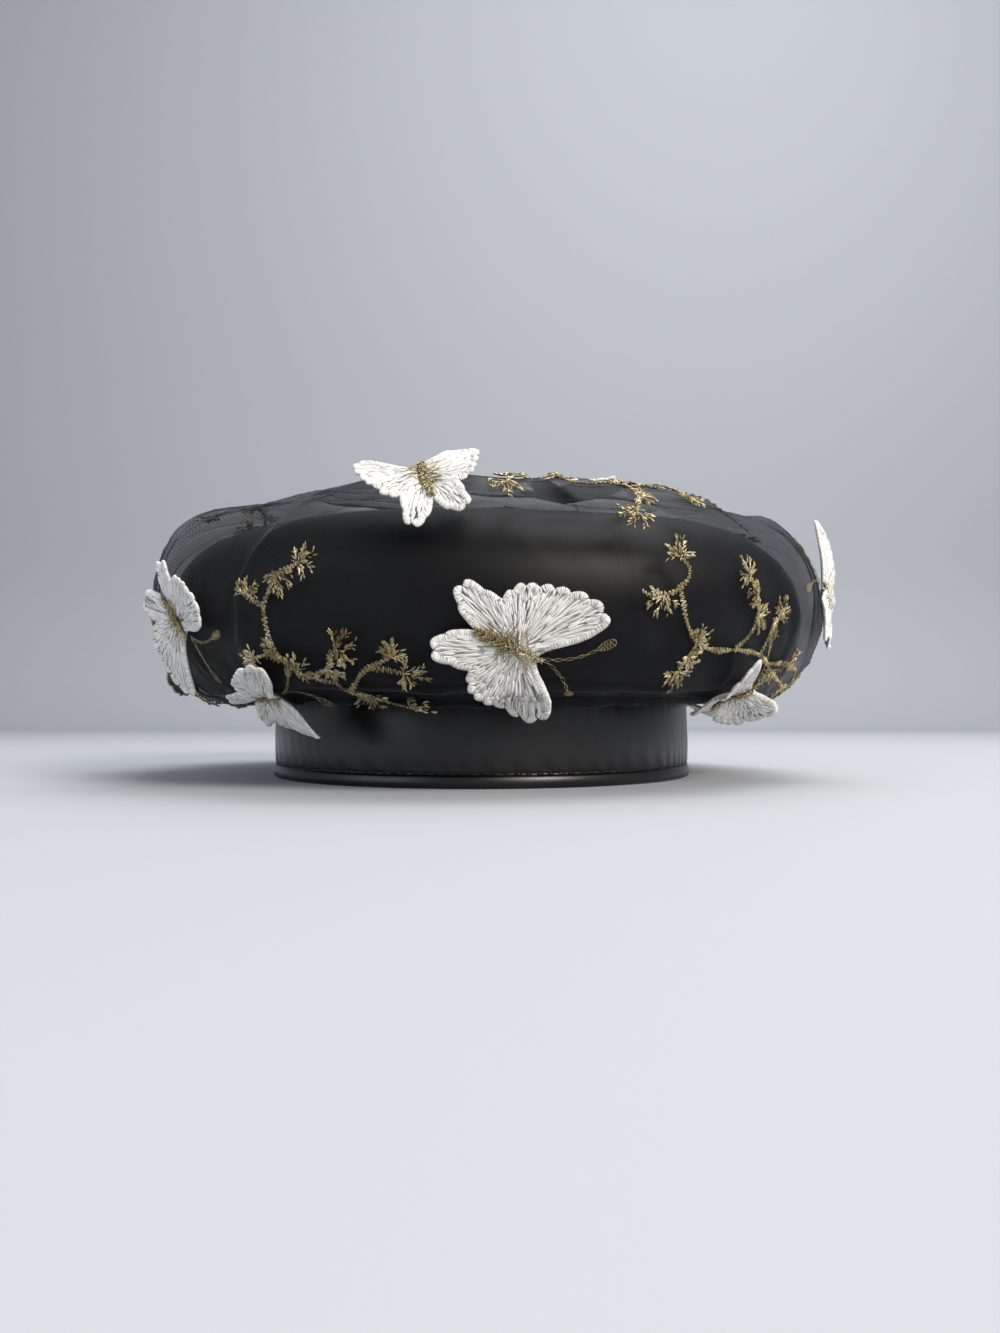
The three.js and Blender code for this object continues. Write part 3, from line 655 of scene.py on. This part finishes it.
def bandShape(u, v):
    azimuth = u * 360 - 180
    knots = np.arange(len(bandSection)) / len(bandSection)
    out = curveAlong(knots, bandSection[:, 0], v, 1) * beret["bandWall"]
    up = np.clip(curveAlong(knots, bandSection[:, 1], v, 1), 0, 1.002) * beret["bandHeight"]
    body = np.sin(np.clip((up / beret["bandHeight"] - 0.15) / 0.85, 0, 1) * np.pi)
    level = up / beret["bandHeight"]
    wave = band["rippleDepth"] * wander(azimuth, level * 0.25, 31, 5, 14) * body
    # short slanting drag lines that the row of stitches pulls up from the edge
    drag = np.sin(np.radians(azimuth) * 74 + level * 9 + 2.5 * wander(azimuth, 0 * level, 33, 3, 9))
    fade = np.exp(-np.clip(level - 0.15, 0, 1) / 0.16) * np.clip((level - 0.12) / 0.05, 0, 1)
    drag = band["dragDepth"] * drag * fade
    lane = np.radians(azimuth) * 96 + 2 * wander(azimuth, 0 * level, 35, 3, 11)
    gather = band["gatherDepth"] * np.sin(lane)
    gather = gather * np.clip((level - 0.72) / 0.2, 0, 1) * (v < 0.62)
    return roundPoint(azimuth, headRadius(azimuth, out + wave + drag * (v < 0.62) + gather), up)


def buildBand():
    piece = newObject("headbandSatin", bentGrid(band["columns"], band["rows"], bandShape), bandSatin)
    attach(piece, "root")
    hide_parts("headband")
    around = math.pi * (beret["headLength"] + beret["headWidth"]) / 2 + 20
    count = round(around / band["stitchPitch"])
    middle = (np.arange(count) + 0.5) * 360 / count
    half = 180 * band["stitchLength"] / around
    height = np.full(count, band["stitchHeight"])
    out = headRadius(middle, beret["bandWall"] * 0.93)
    starts = roundPoint(middle - half, out, height)
    ends = roundPoint(middle + half, out, height)
    outward = unit(roundPoint(middle, 1, 0 * middle))
    row = (starts, ends, outward, band["stitchWidth"], band["stitchThick"])
    stitches = newObject("headbandStitches", stitchMesh([row]), bandSatin)
    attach(stitches, "root")


buildBand()
print("head band ready")

# butterflies: place, heading, share of the reach, spread of the fore wings, rise of the left and right wings
butterflies = [
    ("front", 4.8, 0.228, -24, 1, 0, 6, 6), ("front_right", 44, 0.16, 70, 0.8, 28, 8, 18),
    ("right", 63, 0.335, 150, 0.9, 6, 10, 24), ("front_left", -44, 0.28, -50, 0.85, 4, 8, 14),
    ("low_left", -32, 0.145, 6, 0.78, 0, 8, 36), ("left", -88, 0.255, 20, 0.8, 10, 6, 16),
    ("top_front", -6, 0.43, 112, 0.85, 6, 8, 14), ("low_right", 99, 0.245, 30, 0.8, 8, 8, 14),
    ("back", -175.2, 0.228, -24, 1, 0, 6, 8), ("back_left", -141, 0.16, 70, 0.8, 28, 8, 14),
    ("back_right", 140, 0.175, -50, 0.75, 4, 8, 14), ("side_back", -118, 0.3, 140, 0.85, 6, 9, 8),
    ("top_left", -118, 0.57, 60, 0.9, 8, 12, 10), ("top_back", 170, 0.58, -60, 0.9, 0, 8, 14),
    ("top_right", 22, 0.7, 20, 0.9, 4, 10, 12),
]
wing = {
    "columns": 240, "wall": 0.8, "curl": 1.8, "lift": 0.25, "lobes": 15, "lobeDepth": 0.062,
    "rimReach": 2.0, "rimPitch": 0.52, "rimWidth": 0.66, "rimThick": 1.25, "rimHeight": 0.62,
    "threadWidth": 0.64, "threadThick": 0.58, "threadPitch": 0.58,
    # painted shade in the underlay's gaps between stitches: grey, or black at a random share
    "darkGap": 0.03, "shadedGap": 0.5, "darkShare": 0.22,
}
wingOutline = np.array([
    (0, 0.24), (14, 0.28), (25, 0.4), (32, 0.7), (38, 0.95), (46, 1.0), (56, 0.96), (66, 0.88), (76, 0.8),
    (88, 0.74), (98, 0.7), (112, 0.68), (124, 0.62), (133, 0.58), (141, 0.68), (150, 0.86), (157, 0.9),
    (164, 0.87), (171, 0.74), (176, 0.6), (180, 0.5),
])
# rows of the underlay from its middle to its rim and back underneath: share of the outline, height in walls
wingRows = np.array([
    (0, 0.75), (0.14, 0.75), (0.3, 0.75), (0.46, 0.72), (0.62, 0.7), (0.78, 0.68), (0.9, 0.66), (0.96, 0.6),
    (0.985, 0.4), (0.96, 0.12), (0.7, 0), (0.35, 0), (0, 0),
])
# rings of satin stitches that fan out from the body: from, to (shares of the outline)
threadRings = [(0.05, 0.3), (0.24, 0.5), (0.42, 0.68), (0.58, 0.83), (0.74, 0.96)]


def wingRise(root, reach, left, right):
    # puts a point of a butterfly in space: both wings rise from the body and curl at the tips
    def place(x, y, height):
        rise = np.radians(np.where(y > 0, left, right))
        lean = np.minimum(np.abs(y) / 2, height * np.sin(rise) * np.minimum(1, np.abs(y)))
        out = np.abs(y) * np.cos(rise) - lean
        distance = (x * x + y * y) / reach ** 2
        lift = np.abs(y) * np.sin(rise) + height * np.cos(rise) + wing["curl"] * distance
        return onCloth(root, x, np.sign(y) * out, wing["lift"] + lift)
    return place


def wingEdge(turn, reach, spread):
    # the scalloped outline of a half at a turn from the head, as x and y
    outline = curveAlong(wingOutline[:, 0], wingOutline[:, 1], turn)
    lobes = np.abs(np.sin(np.radians(turn) * wing["lobes"])) ** 0.7 - 0.65
    scalloped = np.clip((turn - 30) / 10, 0, 1) * np.clip((180 - turn) / 8, 0, 1)
    radius = outline * (1 + wing["lobeDepth"] * lobes * scalloped) * reach
    angle = np.radians(turn + spread * np.maximum(0, np.sin(np.radians(1.2 * turn))))
    return radius * np.cos(angle), radius * np.sin(angle)


def buildUnderlay(name, reach, spread, place, seed):
    pick = np.random.default_rng(seed)

    def shape(u, v):
        row = v * (len(wingRows) - 1)
        k = np.clip(row.astype(int), 0, len(wingRows) - 2)
        t = (row - k)[:, None]
        share, wall = ((1 - t) * wingRows[k] + t * wingRows[k + 1]).T
        x, y = wingEdge(np.abs(u * 360 - 180), reach, spread)
        side = np.where(u >= 0.5, 1, -1)
        points, _, _ = place(x * share, y * share * side, wall * wing["wall"])
        # painted shade: gaps between the stitches are grey, and black where they open
        gap = np.where(pick.random(u.shape) < wing["darkShare"], wing["darkGap"], wing["shadedGap"])
        return points, np.where(wall > 0.05, gap, 1)

    mesh = bentGrid(wing["columns"], len(wingRows) - 1, shape, shaded=True)
    return newObject(f"butterfly_{name}_underlay", mesh, white)


def stitchLine(place, ax, ay, bx, by, height):
    # ends and normals of stitches from a to b, laid on a butterfly or on the organza
    a, _, _ = place(ax, ay, height)
    b, _, _ = place(bx, by, height)
    up, _, _ = place((ax + bx) / 2, (ay + by) / 2, height + 1)
    down, _, _ = place((ax + bx) / 2, (ay + by) / 2, height)
    return a, b, unit(up - down)


def buildThreads(name, reach, spread, place, seed):
    pick = np.random.default_rng(seed)
    rows = []
    turns = np.linspace(0, 180, 721)
    for side in (1, -1):
        for low, high in threadRings:
            # even spacing along the ring's middle line
            x, y = wingEdge(turns, reach, spread)
            share = (low + high) / 2
            run = np.concatenate([[0], np.cumsum(np.hypot(np.diff(x), np.diff(y)) * share)])
            count = int(run[-1] / wing["threadPitch"])
            turn = np.interp((np.arange(count) + pick.uniform(0.2, 0.8, count)) * run[-1] / count, run, turns)
            x, y = wingEdge(turn, reach, spread)
            x2, y2 = wingEdge(np.clip(turn + pick.uniform(-2.2, 2.2, count), 0, 180), reach, spread)
            start = low + pick.uniform(-0.05, 0.05, count)
            end = high + pick.uniform(-0.1, 0.05, count)
            keep = pick.random(count) > 0.06
            height = wing["wall"] * 0.78 + pick.uniform(-0.12, 0.14, count)
            a, b, n = stitchLine(place, x * start, y * start * side, x2 * end, y2 * end * side, height)
            rows.append((a[keep], b[keep], n[keep], wing["threadWidth"], wing["threadThick"]))
        # overcast rim: fat turns laid across the edge
        x, y = wingEdge(turns, reach, spread)
        run = np.concatenate([[0], np.cumsum(np.hypot(np.diff(x), np.diff(y)))])
        count = int(run[-1] / wing["rimPitch"])
        turn = np.interp((np.arange(count) + 0.5) * run[-1] / count, run, turns)
        x, y = wingEdge(turn, reach, spread)
        ax, ay = wingEdge(np.maximum(turn - 1, 0), reach, spread)
        bx, by = wingEdge(np.minimum(turn + 1, 180), reach, spread)
        ahead = np.hypot(bx - ax, by - ay)
        inX, inY = -(by - ay) / ahead, (bx - ax) / ahead
        lean = pick.uniform(-0.25, 0.25, count)
        inX, inY = inX + lean * (bx - ax) / ahead, inY + lean * (by - ay) / ahead
        width = wing["rimReach"] * pick.uniform(0.85, 1.1, count)
        out = 0.1  # the turns reach just past the edge
        a, b, n = stitchLine(place, x - inX * out, np.maximum(y - inY * out, 0.02) * side,
                             x + inX * width, np.maximum(y + inY * width, 0.02) * side,
                             wing["rimHeight"] + 0 * x)
        rows.append((a, b, n, wing["rimWidth"], wing["rimThick"]))
    return newObject(f"butterfly_{name}_threads", stitchMesh(rows), white)


def stitchRows(place, x, y, angle, length, height):
    # ends and normals of stitches centred at x, y on a butterfly or a sprig's cloth
    dx, dy = np.cos(angle) * length / 2, np.sin(angle) * length / 2
    return stitchLine(place, x - dx, y - dy, x + dx, y + dy, height)


giltShade = 0.4  # darkest of the gold stitches
# gilt body: counts of stitches, thread sizes in mm, the spindle's half width on the largest butterfly, and
# the core's share of painted shade
giltBody = {
    "turns": 150, "thread": 0.36, "plump": 2.5, "coreTurns": 26, "coreWidth": 1, "coreThick": 0.9,
    "coreShade": 0.3, "rays": 56, "rayThread": 0.24, "knotWidth": 0.42, "knotThick": 0.6,
}


def buildBody(name, reach, place, seed):
    pick = np.random.default_rng(seed)
    rows = []
    # a fuzzy spindle of fine gilt turns, thick in the middle
    count = giltBody["turns"]
    scale = reach / beret["butterflyReach"]
    t = np.linspace(0, 1, count)
    x = (-0.5 + 0.78 * t) * reach + pick.uniform(-0.5, 0.5, count)
    half = giltBody["plump"] * np.sin(np.clip(t * 0.85 + 0.12, 0, 1) * np.pi) ** 0.8 * scale
    side = np.where(np.arange(count) % 2 == 0, 1, -1)
    y = side * half * pick.uniform(0.1, 0.55, count)
    lean = side * np.radians(pick.uniform(22, 72, count))
    height = wing["wall"] + 1.05 + pick.uniform(-0.25, 0.35, count) - 0.3 * np.abs(y)
    a, b, n = stitchRows(place, x, y, np.pi - lean, half * 0.9 + pick.uniform(0.7, 1.6, count), height)
    rows.append((a, b, n, giltBody["thread"], giltBody["thread"]))
    # core of couched turns that fills the spindle, darkened with painted shade where it lies under the fine
    # turns
    core = np.linspace(-0.47, 0.26, giltBody["coreTurns"]) * reach
    a, b, n = stitchRows(place, core, 0 * core, np.pi / 2 + 0 * core, 2 * scale + 0 * core,
                         wing["wall"] + 0.5 + 0 * core)
    rows.append((a, b, n, giltBody["coreWidth"], giltBody["coreThick"], giltBody["coreShade"]))
    # single gilt threads that run out between the white ones
    rays = giltBody["rays"]
    turn = np.radians(pick.uniform(25, 172, rays)) * np.where(np.arange(rays) % 2 == 0, 1, -1)
    start = pick.uniform(-0.22, 0.16, rays) * reach
    near = pick.uniform(0.8, 1.6, rays)
    far = near + pick.uniform(2.5, 7, rays) * scale
    a, b, n = stitchLine(place, start + np.cos(turn) * near, np.sin(turn) * near,
                         start + np.cos(turn) * far, np.sin(turn) * far, wing["wall"] + 0.28 + 0 * turn)
    rows.append((a, b, n, giltBody["rayThread"], giltBody["rayThread"]))
    # knot at the head
    knot = np.linspace(0, np.pi, 9)
    a, b, n = stitchRows(place, 0.28 * reach + 0.3 * np.cos(knot * 3), 0.3 * np.sin(knot * 5), knot,
                         1.9 + 0 * knot, wing["wall"] + 0.7 + 0 * knot)
    rows.append((a, b, n, giltBody["knotWidth"], giltBody["knotThick"]))
    return newObject(f"butterfly_{name}_giltBody", stitchMesh(rows, giltShade), gold)


def threadRun(rows, root, x, y, height, width):
    # one thread along a line of points on the organza
    points, a, s = onCloth(root, x, y, height)
    normal = crownNormal(a, s)
    rows.append((points[:-1], points[1:], normal[:-1], width, width))


# antennae: twisted gilt threads that end in an open leaf, sizes in mm
antenna = {
    "steps": 22, "thread": 0.24, "sway": 0.42, "leafLength": 5.8, "leafHalf": 1.5, "leafThread": 0.28,
    "fillThread": 0.2,
}


def buildAntennae(name, root, reach, seed):
    pick = np.random.default_rng(seed)
    rows = []
    count = antenna["steps"]
    t = np.arange(count + 1) / count
    for side in (1, -1):
        bend = side * (np.radians(10) + np.radians(pick.uniform(16, 30)) * t)
        length = reach * pick.uniform(0.56, 0.66)
        x = 0.3 * reach + length * t * np.cos(bend)
        y = length * t * np.sin(bend)
        # two gilt threads twisted loosely round each other
        for strand in (0, 1):
            twist = t * math.pi * 5 + strand * math.pi
            sway = antenna["sway"] * np.sin(twist) + pick.uniform(-0.07, 0.07, count + 1)
            lift = 0.32 + 0.12 * np.cos(twist)
            threadRun(rows, root, x - sway * np.sin(bend), y + sway * np.cos(bend), lift, antenna["thread"])
        # open leaf at the tip, its threads laid to and fro
        tip = math.atan2(y[-1] - y[-4], x[-1] - x[-4])
        turns = np.linspace(0, 2 * math.pi, 15)
        leafX = antenna["leafLength"] / 2 * (1 - np.cos(turns))
        leafY = antenna["leafHalf"] * np.sin(turns) * np.abs(np.sin(turns / 2)) ** 0.5
        zig = np.arange(11)
        zagX = 0.7 + zig * 0.44
        inside = np.sin(np.clip(zagX / antenna["leafLength"], 0, 1) * math.pi) ** 0.8
        zagY = np.where(zig % 2 == 0, 1, -1) * 0.9 * antenna["leafHalf"] * inside
        for ox, oy, width in ((leafX, leafY, antenna["leafThread"]), (zagX, zagY, antenna["fillThread"])):
            threadRun(rows, root, x[-1] + ox * math.cos(tip) - oy * math.sin(tip),
                      y[-1] + ox * math.sin(tip) + oy * math.cos(tip), 0.4 + 0 * ox, width)
    return newObject(f"butterfly_{name}_antennae", stitchMesh(rows, giltShade), gold)


for seed, (name, azimuth, station, heading, share, spread, left, right) in enumerate(butterflies):
    root = walker(azimuth, station, heading)
    reach = beret["butterflyReach"] * share
    place = wingRise(root, reach, left, right)
    underlay = buildUnderlay(name, reach, spread, place, seed + 20)
    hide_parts(f"butterfly_{name}")
    threads = buildThreads(name, reach, spread, place, seed)
    body = buildBody(name, reach, place, seed + 50)
    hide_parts(f"butterfly_{name}_body")
    antennae = buildAntennae(name, root, reach, seed + 90)
    for piece, slot in ((underlay, "thread_white"), (threads, "thread_white"), (body, "thread_gold"),
                        (antennae, "thread_gold")):
        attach(piece, "root")
print("butterflies ready")

# sprigs: branches leave another branch at a share of it, turned, bending and swaying; lengths are shares
sprigBranches = {
    "fork": [
        ("crest", None, 0, 0, 0.465, 33, -15), ("stub", "crest", 1, -80, 0.27, -21, 0),
        ("stem", "crest", 1, 32, 0.86, 73, -8), ("end", "stem", 1, -48, 0.6, 35, -2),
        ("rise", "end", 0.2, 96, 0.56, -12, 13), ("side", "rise", 0.6, -52, 0.25, 20, 14),
        ("twig", "stem", 0.83, 111, 0.36, -96, -45), ("drop", "stem", 0.42, -118, 0.24, 21, 0),
    ],
    "arch": [
        ("crest", None, 0, 0, 0.29, -92, 23), ("stub", "crest", 1, 5, 0.33, -79, -7),
        ("stem", "crest", 1, 61, 0.9, 85, -6), ("bow", "stem", 1, -22, 0.83, -15, 8),
        ("end", "bow", 1, 5, 1.16, -2, 2), ("side", "stem", 0.54, -110, 0.26, 60, 15),
        ("loop", "stem", 1, 17, 0.7, 102, -11), ("hook", "bow", 0.5, 72, 0.4, 6, 22),
        ("upper", "bow", 0.75, 38, 1.1, -51, -2),
    ],
    "bough": [
        ("crest", None, 0, 0, 0.98, 119, -28), ("twig", "crest", 1, 60, 0.36, -60, 0),
        ("stem", "crest", 1, -85, 0.8, 25, 12), ("end", "stem", 1, 30, 0.22, 60, 15),
    ],
}
# leaf tufts: branch, place on it, turn, share of the reach
sprigTufts = {
    "fork": [
        ("crest", 0.4, 75, 0.9), ("stub", 0.6, -60, 0.8), ("stem", 0.62, 70, 0.9), ("twig", 1, 0, 1),
        ("drop", 1, 0, 0.7), ("rise", 0.95, 40, 0.7), ("side", 1, -20, 1), ("end", 0.5, -70, 1),
        ("end", 1, 0, 1), ("crest", 0, 180, 0.8), ("stem", 0.35, -80, 0.7), ("twig", 0.5, -70, 0.8),
    ],
    "arch": [
        ("stub", 0.5, 60, 0.9), ("crest", 0, 150, 0.9), ("side", 1, 0, 1), ("loop", 0.5, -60, 0.9),
        ("loop", 1, 0, 1), ("hook", 1, 0, 0.9), ("bow", 0.9, -70, 0.8), ("end", 1, 0, 1),
        ("upper", 0.45, 60, 0.9), ("upper", 1, 0, 0.9), ("loop", 0.75, 70, 0.8), ("stem", 0.5, 70, 0.7),
        ("side", 0.5, 60, 0.7), ("end", 0.55, -60, 0.8), ("hook", 0.6, -70, 0.7),
    ],
    "bough": [
        ("crest", 0.5, 70, 0.9), ("crest", 0.8, -60, 0.9), ("twig", 1, 0, 1), ("stem", 0.55, -70, 0.8),
        ("stem", 1, -60, 0.9), ("end", 1, 0, 0.9), ("crest", 0.05, 160, 0.8), ("twig", 0.5, 70, 0.8),
    ],
}
sprigs = [
    ("front_left", "fork", -19.6, 0.335, -159), ("front_right", "arch", 23.4, 0.345, -43),
    ("side_left", "bough", -51.1, 0.3, 164), ("back_right", "fork", 160.4, 0.335, -159),
    ("back_left", "arch", -161.6, 0.345, -43), ("side_right", "bough", 134.9, 0.3, 164),
    ("top_left", "bough", -58, 0.46, 60), ("top_right", "bough", 96, 0.46, 75),
    ("top_front", "bough", 30, 0.43, 100),
]
# stitches of the sprigs in mm: slanting turns over a cord, and short ones in the tufts
stitch = {
    "pitch": 0.66, "width": 0.44, "thick": 0.55, "across": 2.3, "slant": 12, "branchLift": 0.5,
    "cordWidth": 1.1, "cordThick": 0.4, "cordShade": 0.15, "tuftCount": 62, "tuftWidth": 0.47,
    "lobeHalf": 1.05,
}


def growBranch(root, length, bend, sway):
    count = max(6, round(length))
    place, before, places = root, 0, [root]
    for i in range(count):
        t = (i + 0.5) / count
        angle = bend * t + sway * math.sin(2 * math.pi * t)
        place = stepOn(place, length / count, angle - before)
        before = angle
        places.append(place)
    return places


def spotOn(places, share, turn):
    place = places[round(share * (len(places) - 1))]
    return stepOn(place, 0, turn)


def branchStitches(rows, places, length, pick):
    # couched gilt thread: slanting turns laid side by side over a cord
    station = np.array([p[1][0] for p in places])
    azimuth = np.unwrap(np.array([p[0][0] for p in places]), period=360)
    facing = np.array([p[2][0] for p in places])
    count = max(4, round(length / stitch["pitch"]))
    t = np.linspace(0, len(places) - 1, count)
    ref = np.arange(len(places))
    a, s = np.interp(t, ref, azimuth), np.interp(t, ref, station)
    ahead = unit(np.stack([np.interp(t, ref, facing[:, k]) for k in range(3)], axis=-1))
    normal = crownNormal(a, s)
    aside = unit(np.cross(normal, ahead))
    middle = clothPoint(a, s, veilTop(a, s) + veilFolds(a, s) + stitch["branchLift"])
    slant = np.radians(stitch["slant"]) * np.where(np.arange(count) % 2 == 0, 1, -1)
    slant = slant + pick.uniform(-0.16, 0.16, count)
    across = aside * np.cos(slant)[:, None] + ahead * np.sin(slant)[:, None]
    plump = 0.86 + 0.22 * np.sin(np.arange(count) * 0.35 + pick.uniform(0, 6))
    half = stitch["across"] / 2 * (plump * pick.uniform(0.78, 1.2, count))[:, None]
    lift = normal * pick.uniform(0, 0.18, count)[:, None]
    rows.append((middle - across * half + lift, middle + across * half + lift, normal,
                 stitch["width"], stitch["thick"]))
    # cord underneath, darkened with painted shade where the turns cover it
    line = middle[::4] - normal[::4] * 0.25
    rows.append((line[:-1], line[1:], normal[::4][:-1],
                 stitch["cordWidth"], stitch["cordThick"], stitch["cordShade"]))


def tuftStitches(rows, root, reach, pick):
    # a leaf tuft: five blunt lobes filled with short thick turns that fan out and stand up a little
    count = stitch["tuftCount"]
    lobe = np.repeat(np.radians([-82, -42, 0, 42, 82]), count // 5 + 1)[:count]
    lobe = lobe + np.repeat(pick.uniform(-0.15, 0.15, 5), count // 5 + 1)[:count]
    along = pick.uniform(0.16, 0.92, count)
    spread = pick.uniform(-1, 1, count)
    size = reach * (1 - 0.16 * np.abs(lobe))
    aside = spread * stitch["lobeHalf"]
    x = size * along * np.cos(lobe) - aside * np.sin(lobe)
    y = size * along * np.sin(lobe) + aside * np.cos(lobe)
    angle = lobe + spread * 0.75 + pick.uniform(-0.3, 0.3, count)
    length = pick.uniform(1.5, 2.5, count) * (1.1 - 0.25 * along)
    height = 0.35 + 0.75 * (1 - np.abs(spread)) * pick.uniform(0.3, 1, count)

    def place(px, py, lift):
        return onCloth(root, px, py, lift)

    a, b, n = stitchRows(place, x, y, angle, length, height)
    b = b + n * pick.uniform(0, 0.45, count)[:, None]
    rows.append((a, b, n, stitch["tuftWidth"], stitch["thick"]))


def buildSprig(name, kind, azimuth, station, heading, seed):
    pick = np.random.default_rng(seed)
    grown, rows = {}, []
    for label, parent, share, turn, length, bend, sway in sprigBranches[kind]:
        root = spotOn(grown[parent], share, turn) if parent else walker(azimuth, station, heading)
        long = length * beret["branchLength"]
        grown[label] = growBranch(root, long, bend, sway)
        branchStitches(rows, grown[label], long, pick)
    for label, share, turn, size in sprigTufts[kind]:
        tuftStitches(rows, spotOn(grown[label], share, turn), size * beret["leafReach"], pick)
    return newObject(f"sprig_{name}_gilt", stitchMesh(rows, giltShade), gold)


for seed, (name, kind, azimuth, station, heading) in enumerate(sprigs):
    piece = buildSprig(name, kind, azimuth, station, heading, seed + 200)
    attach(piece, "root")
    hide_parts(f"sprig_{name}")
print("sprigs ready")
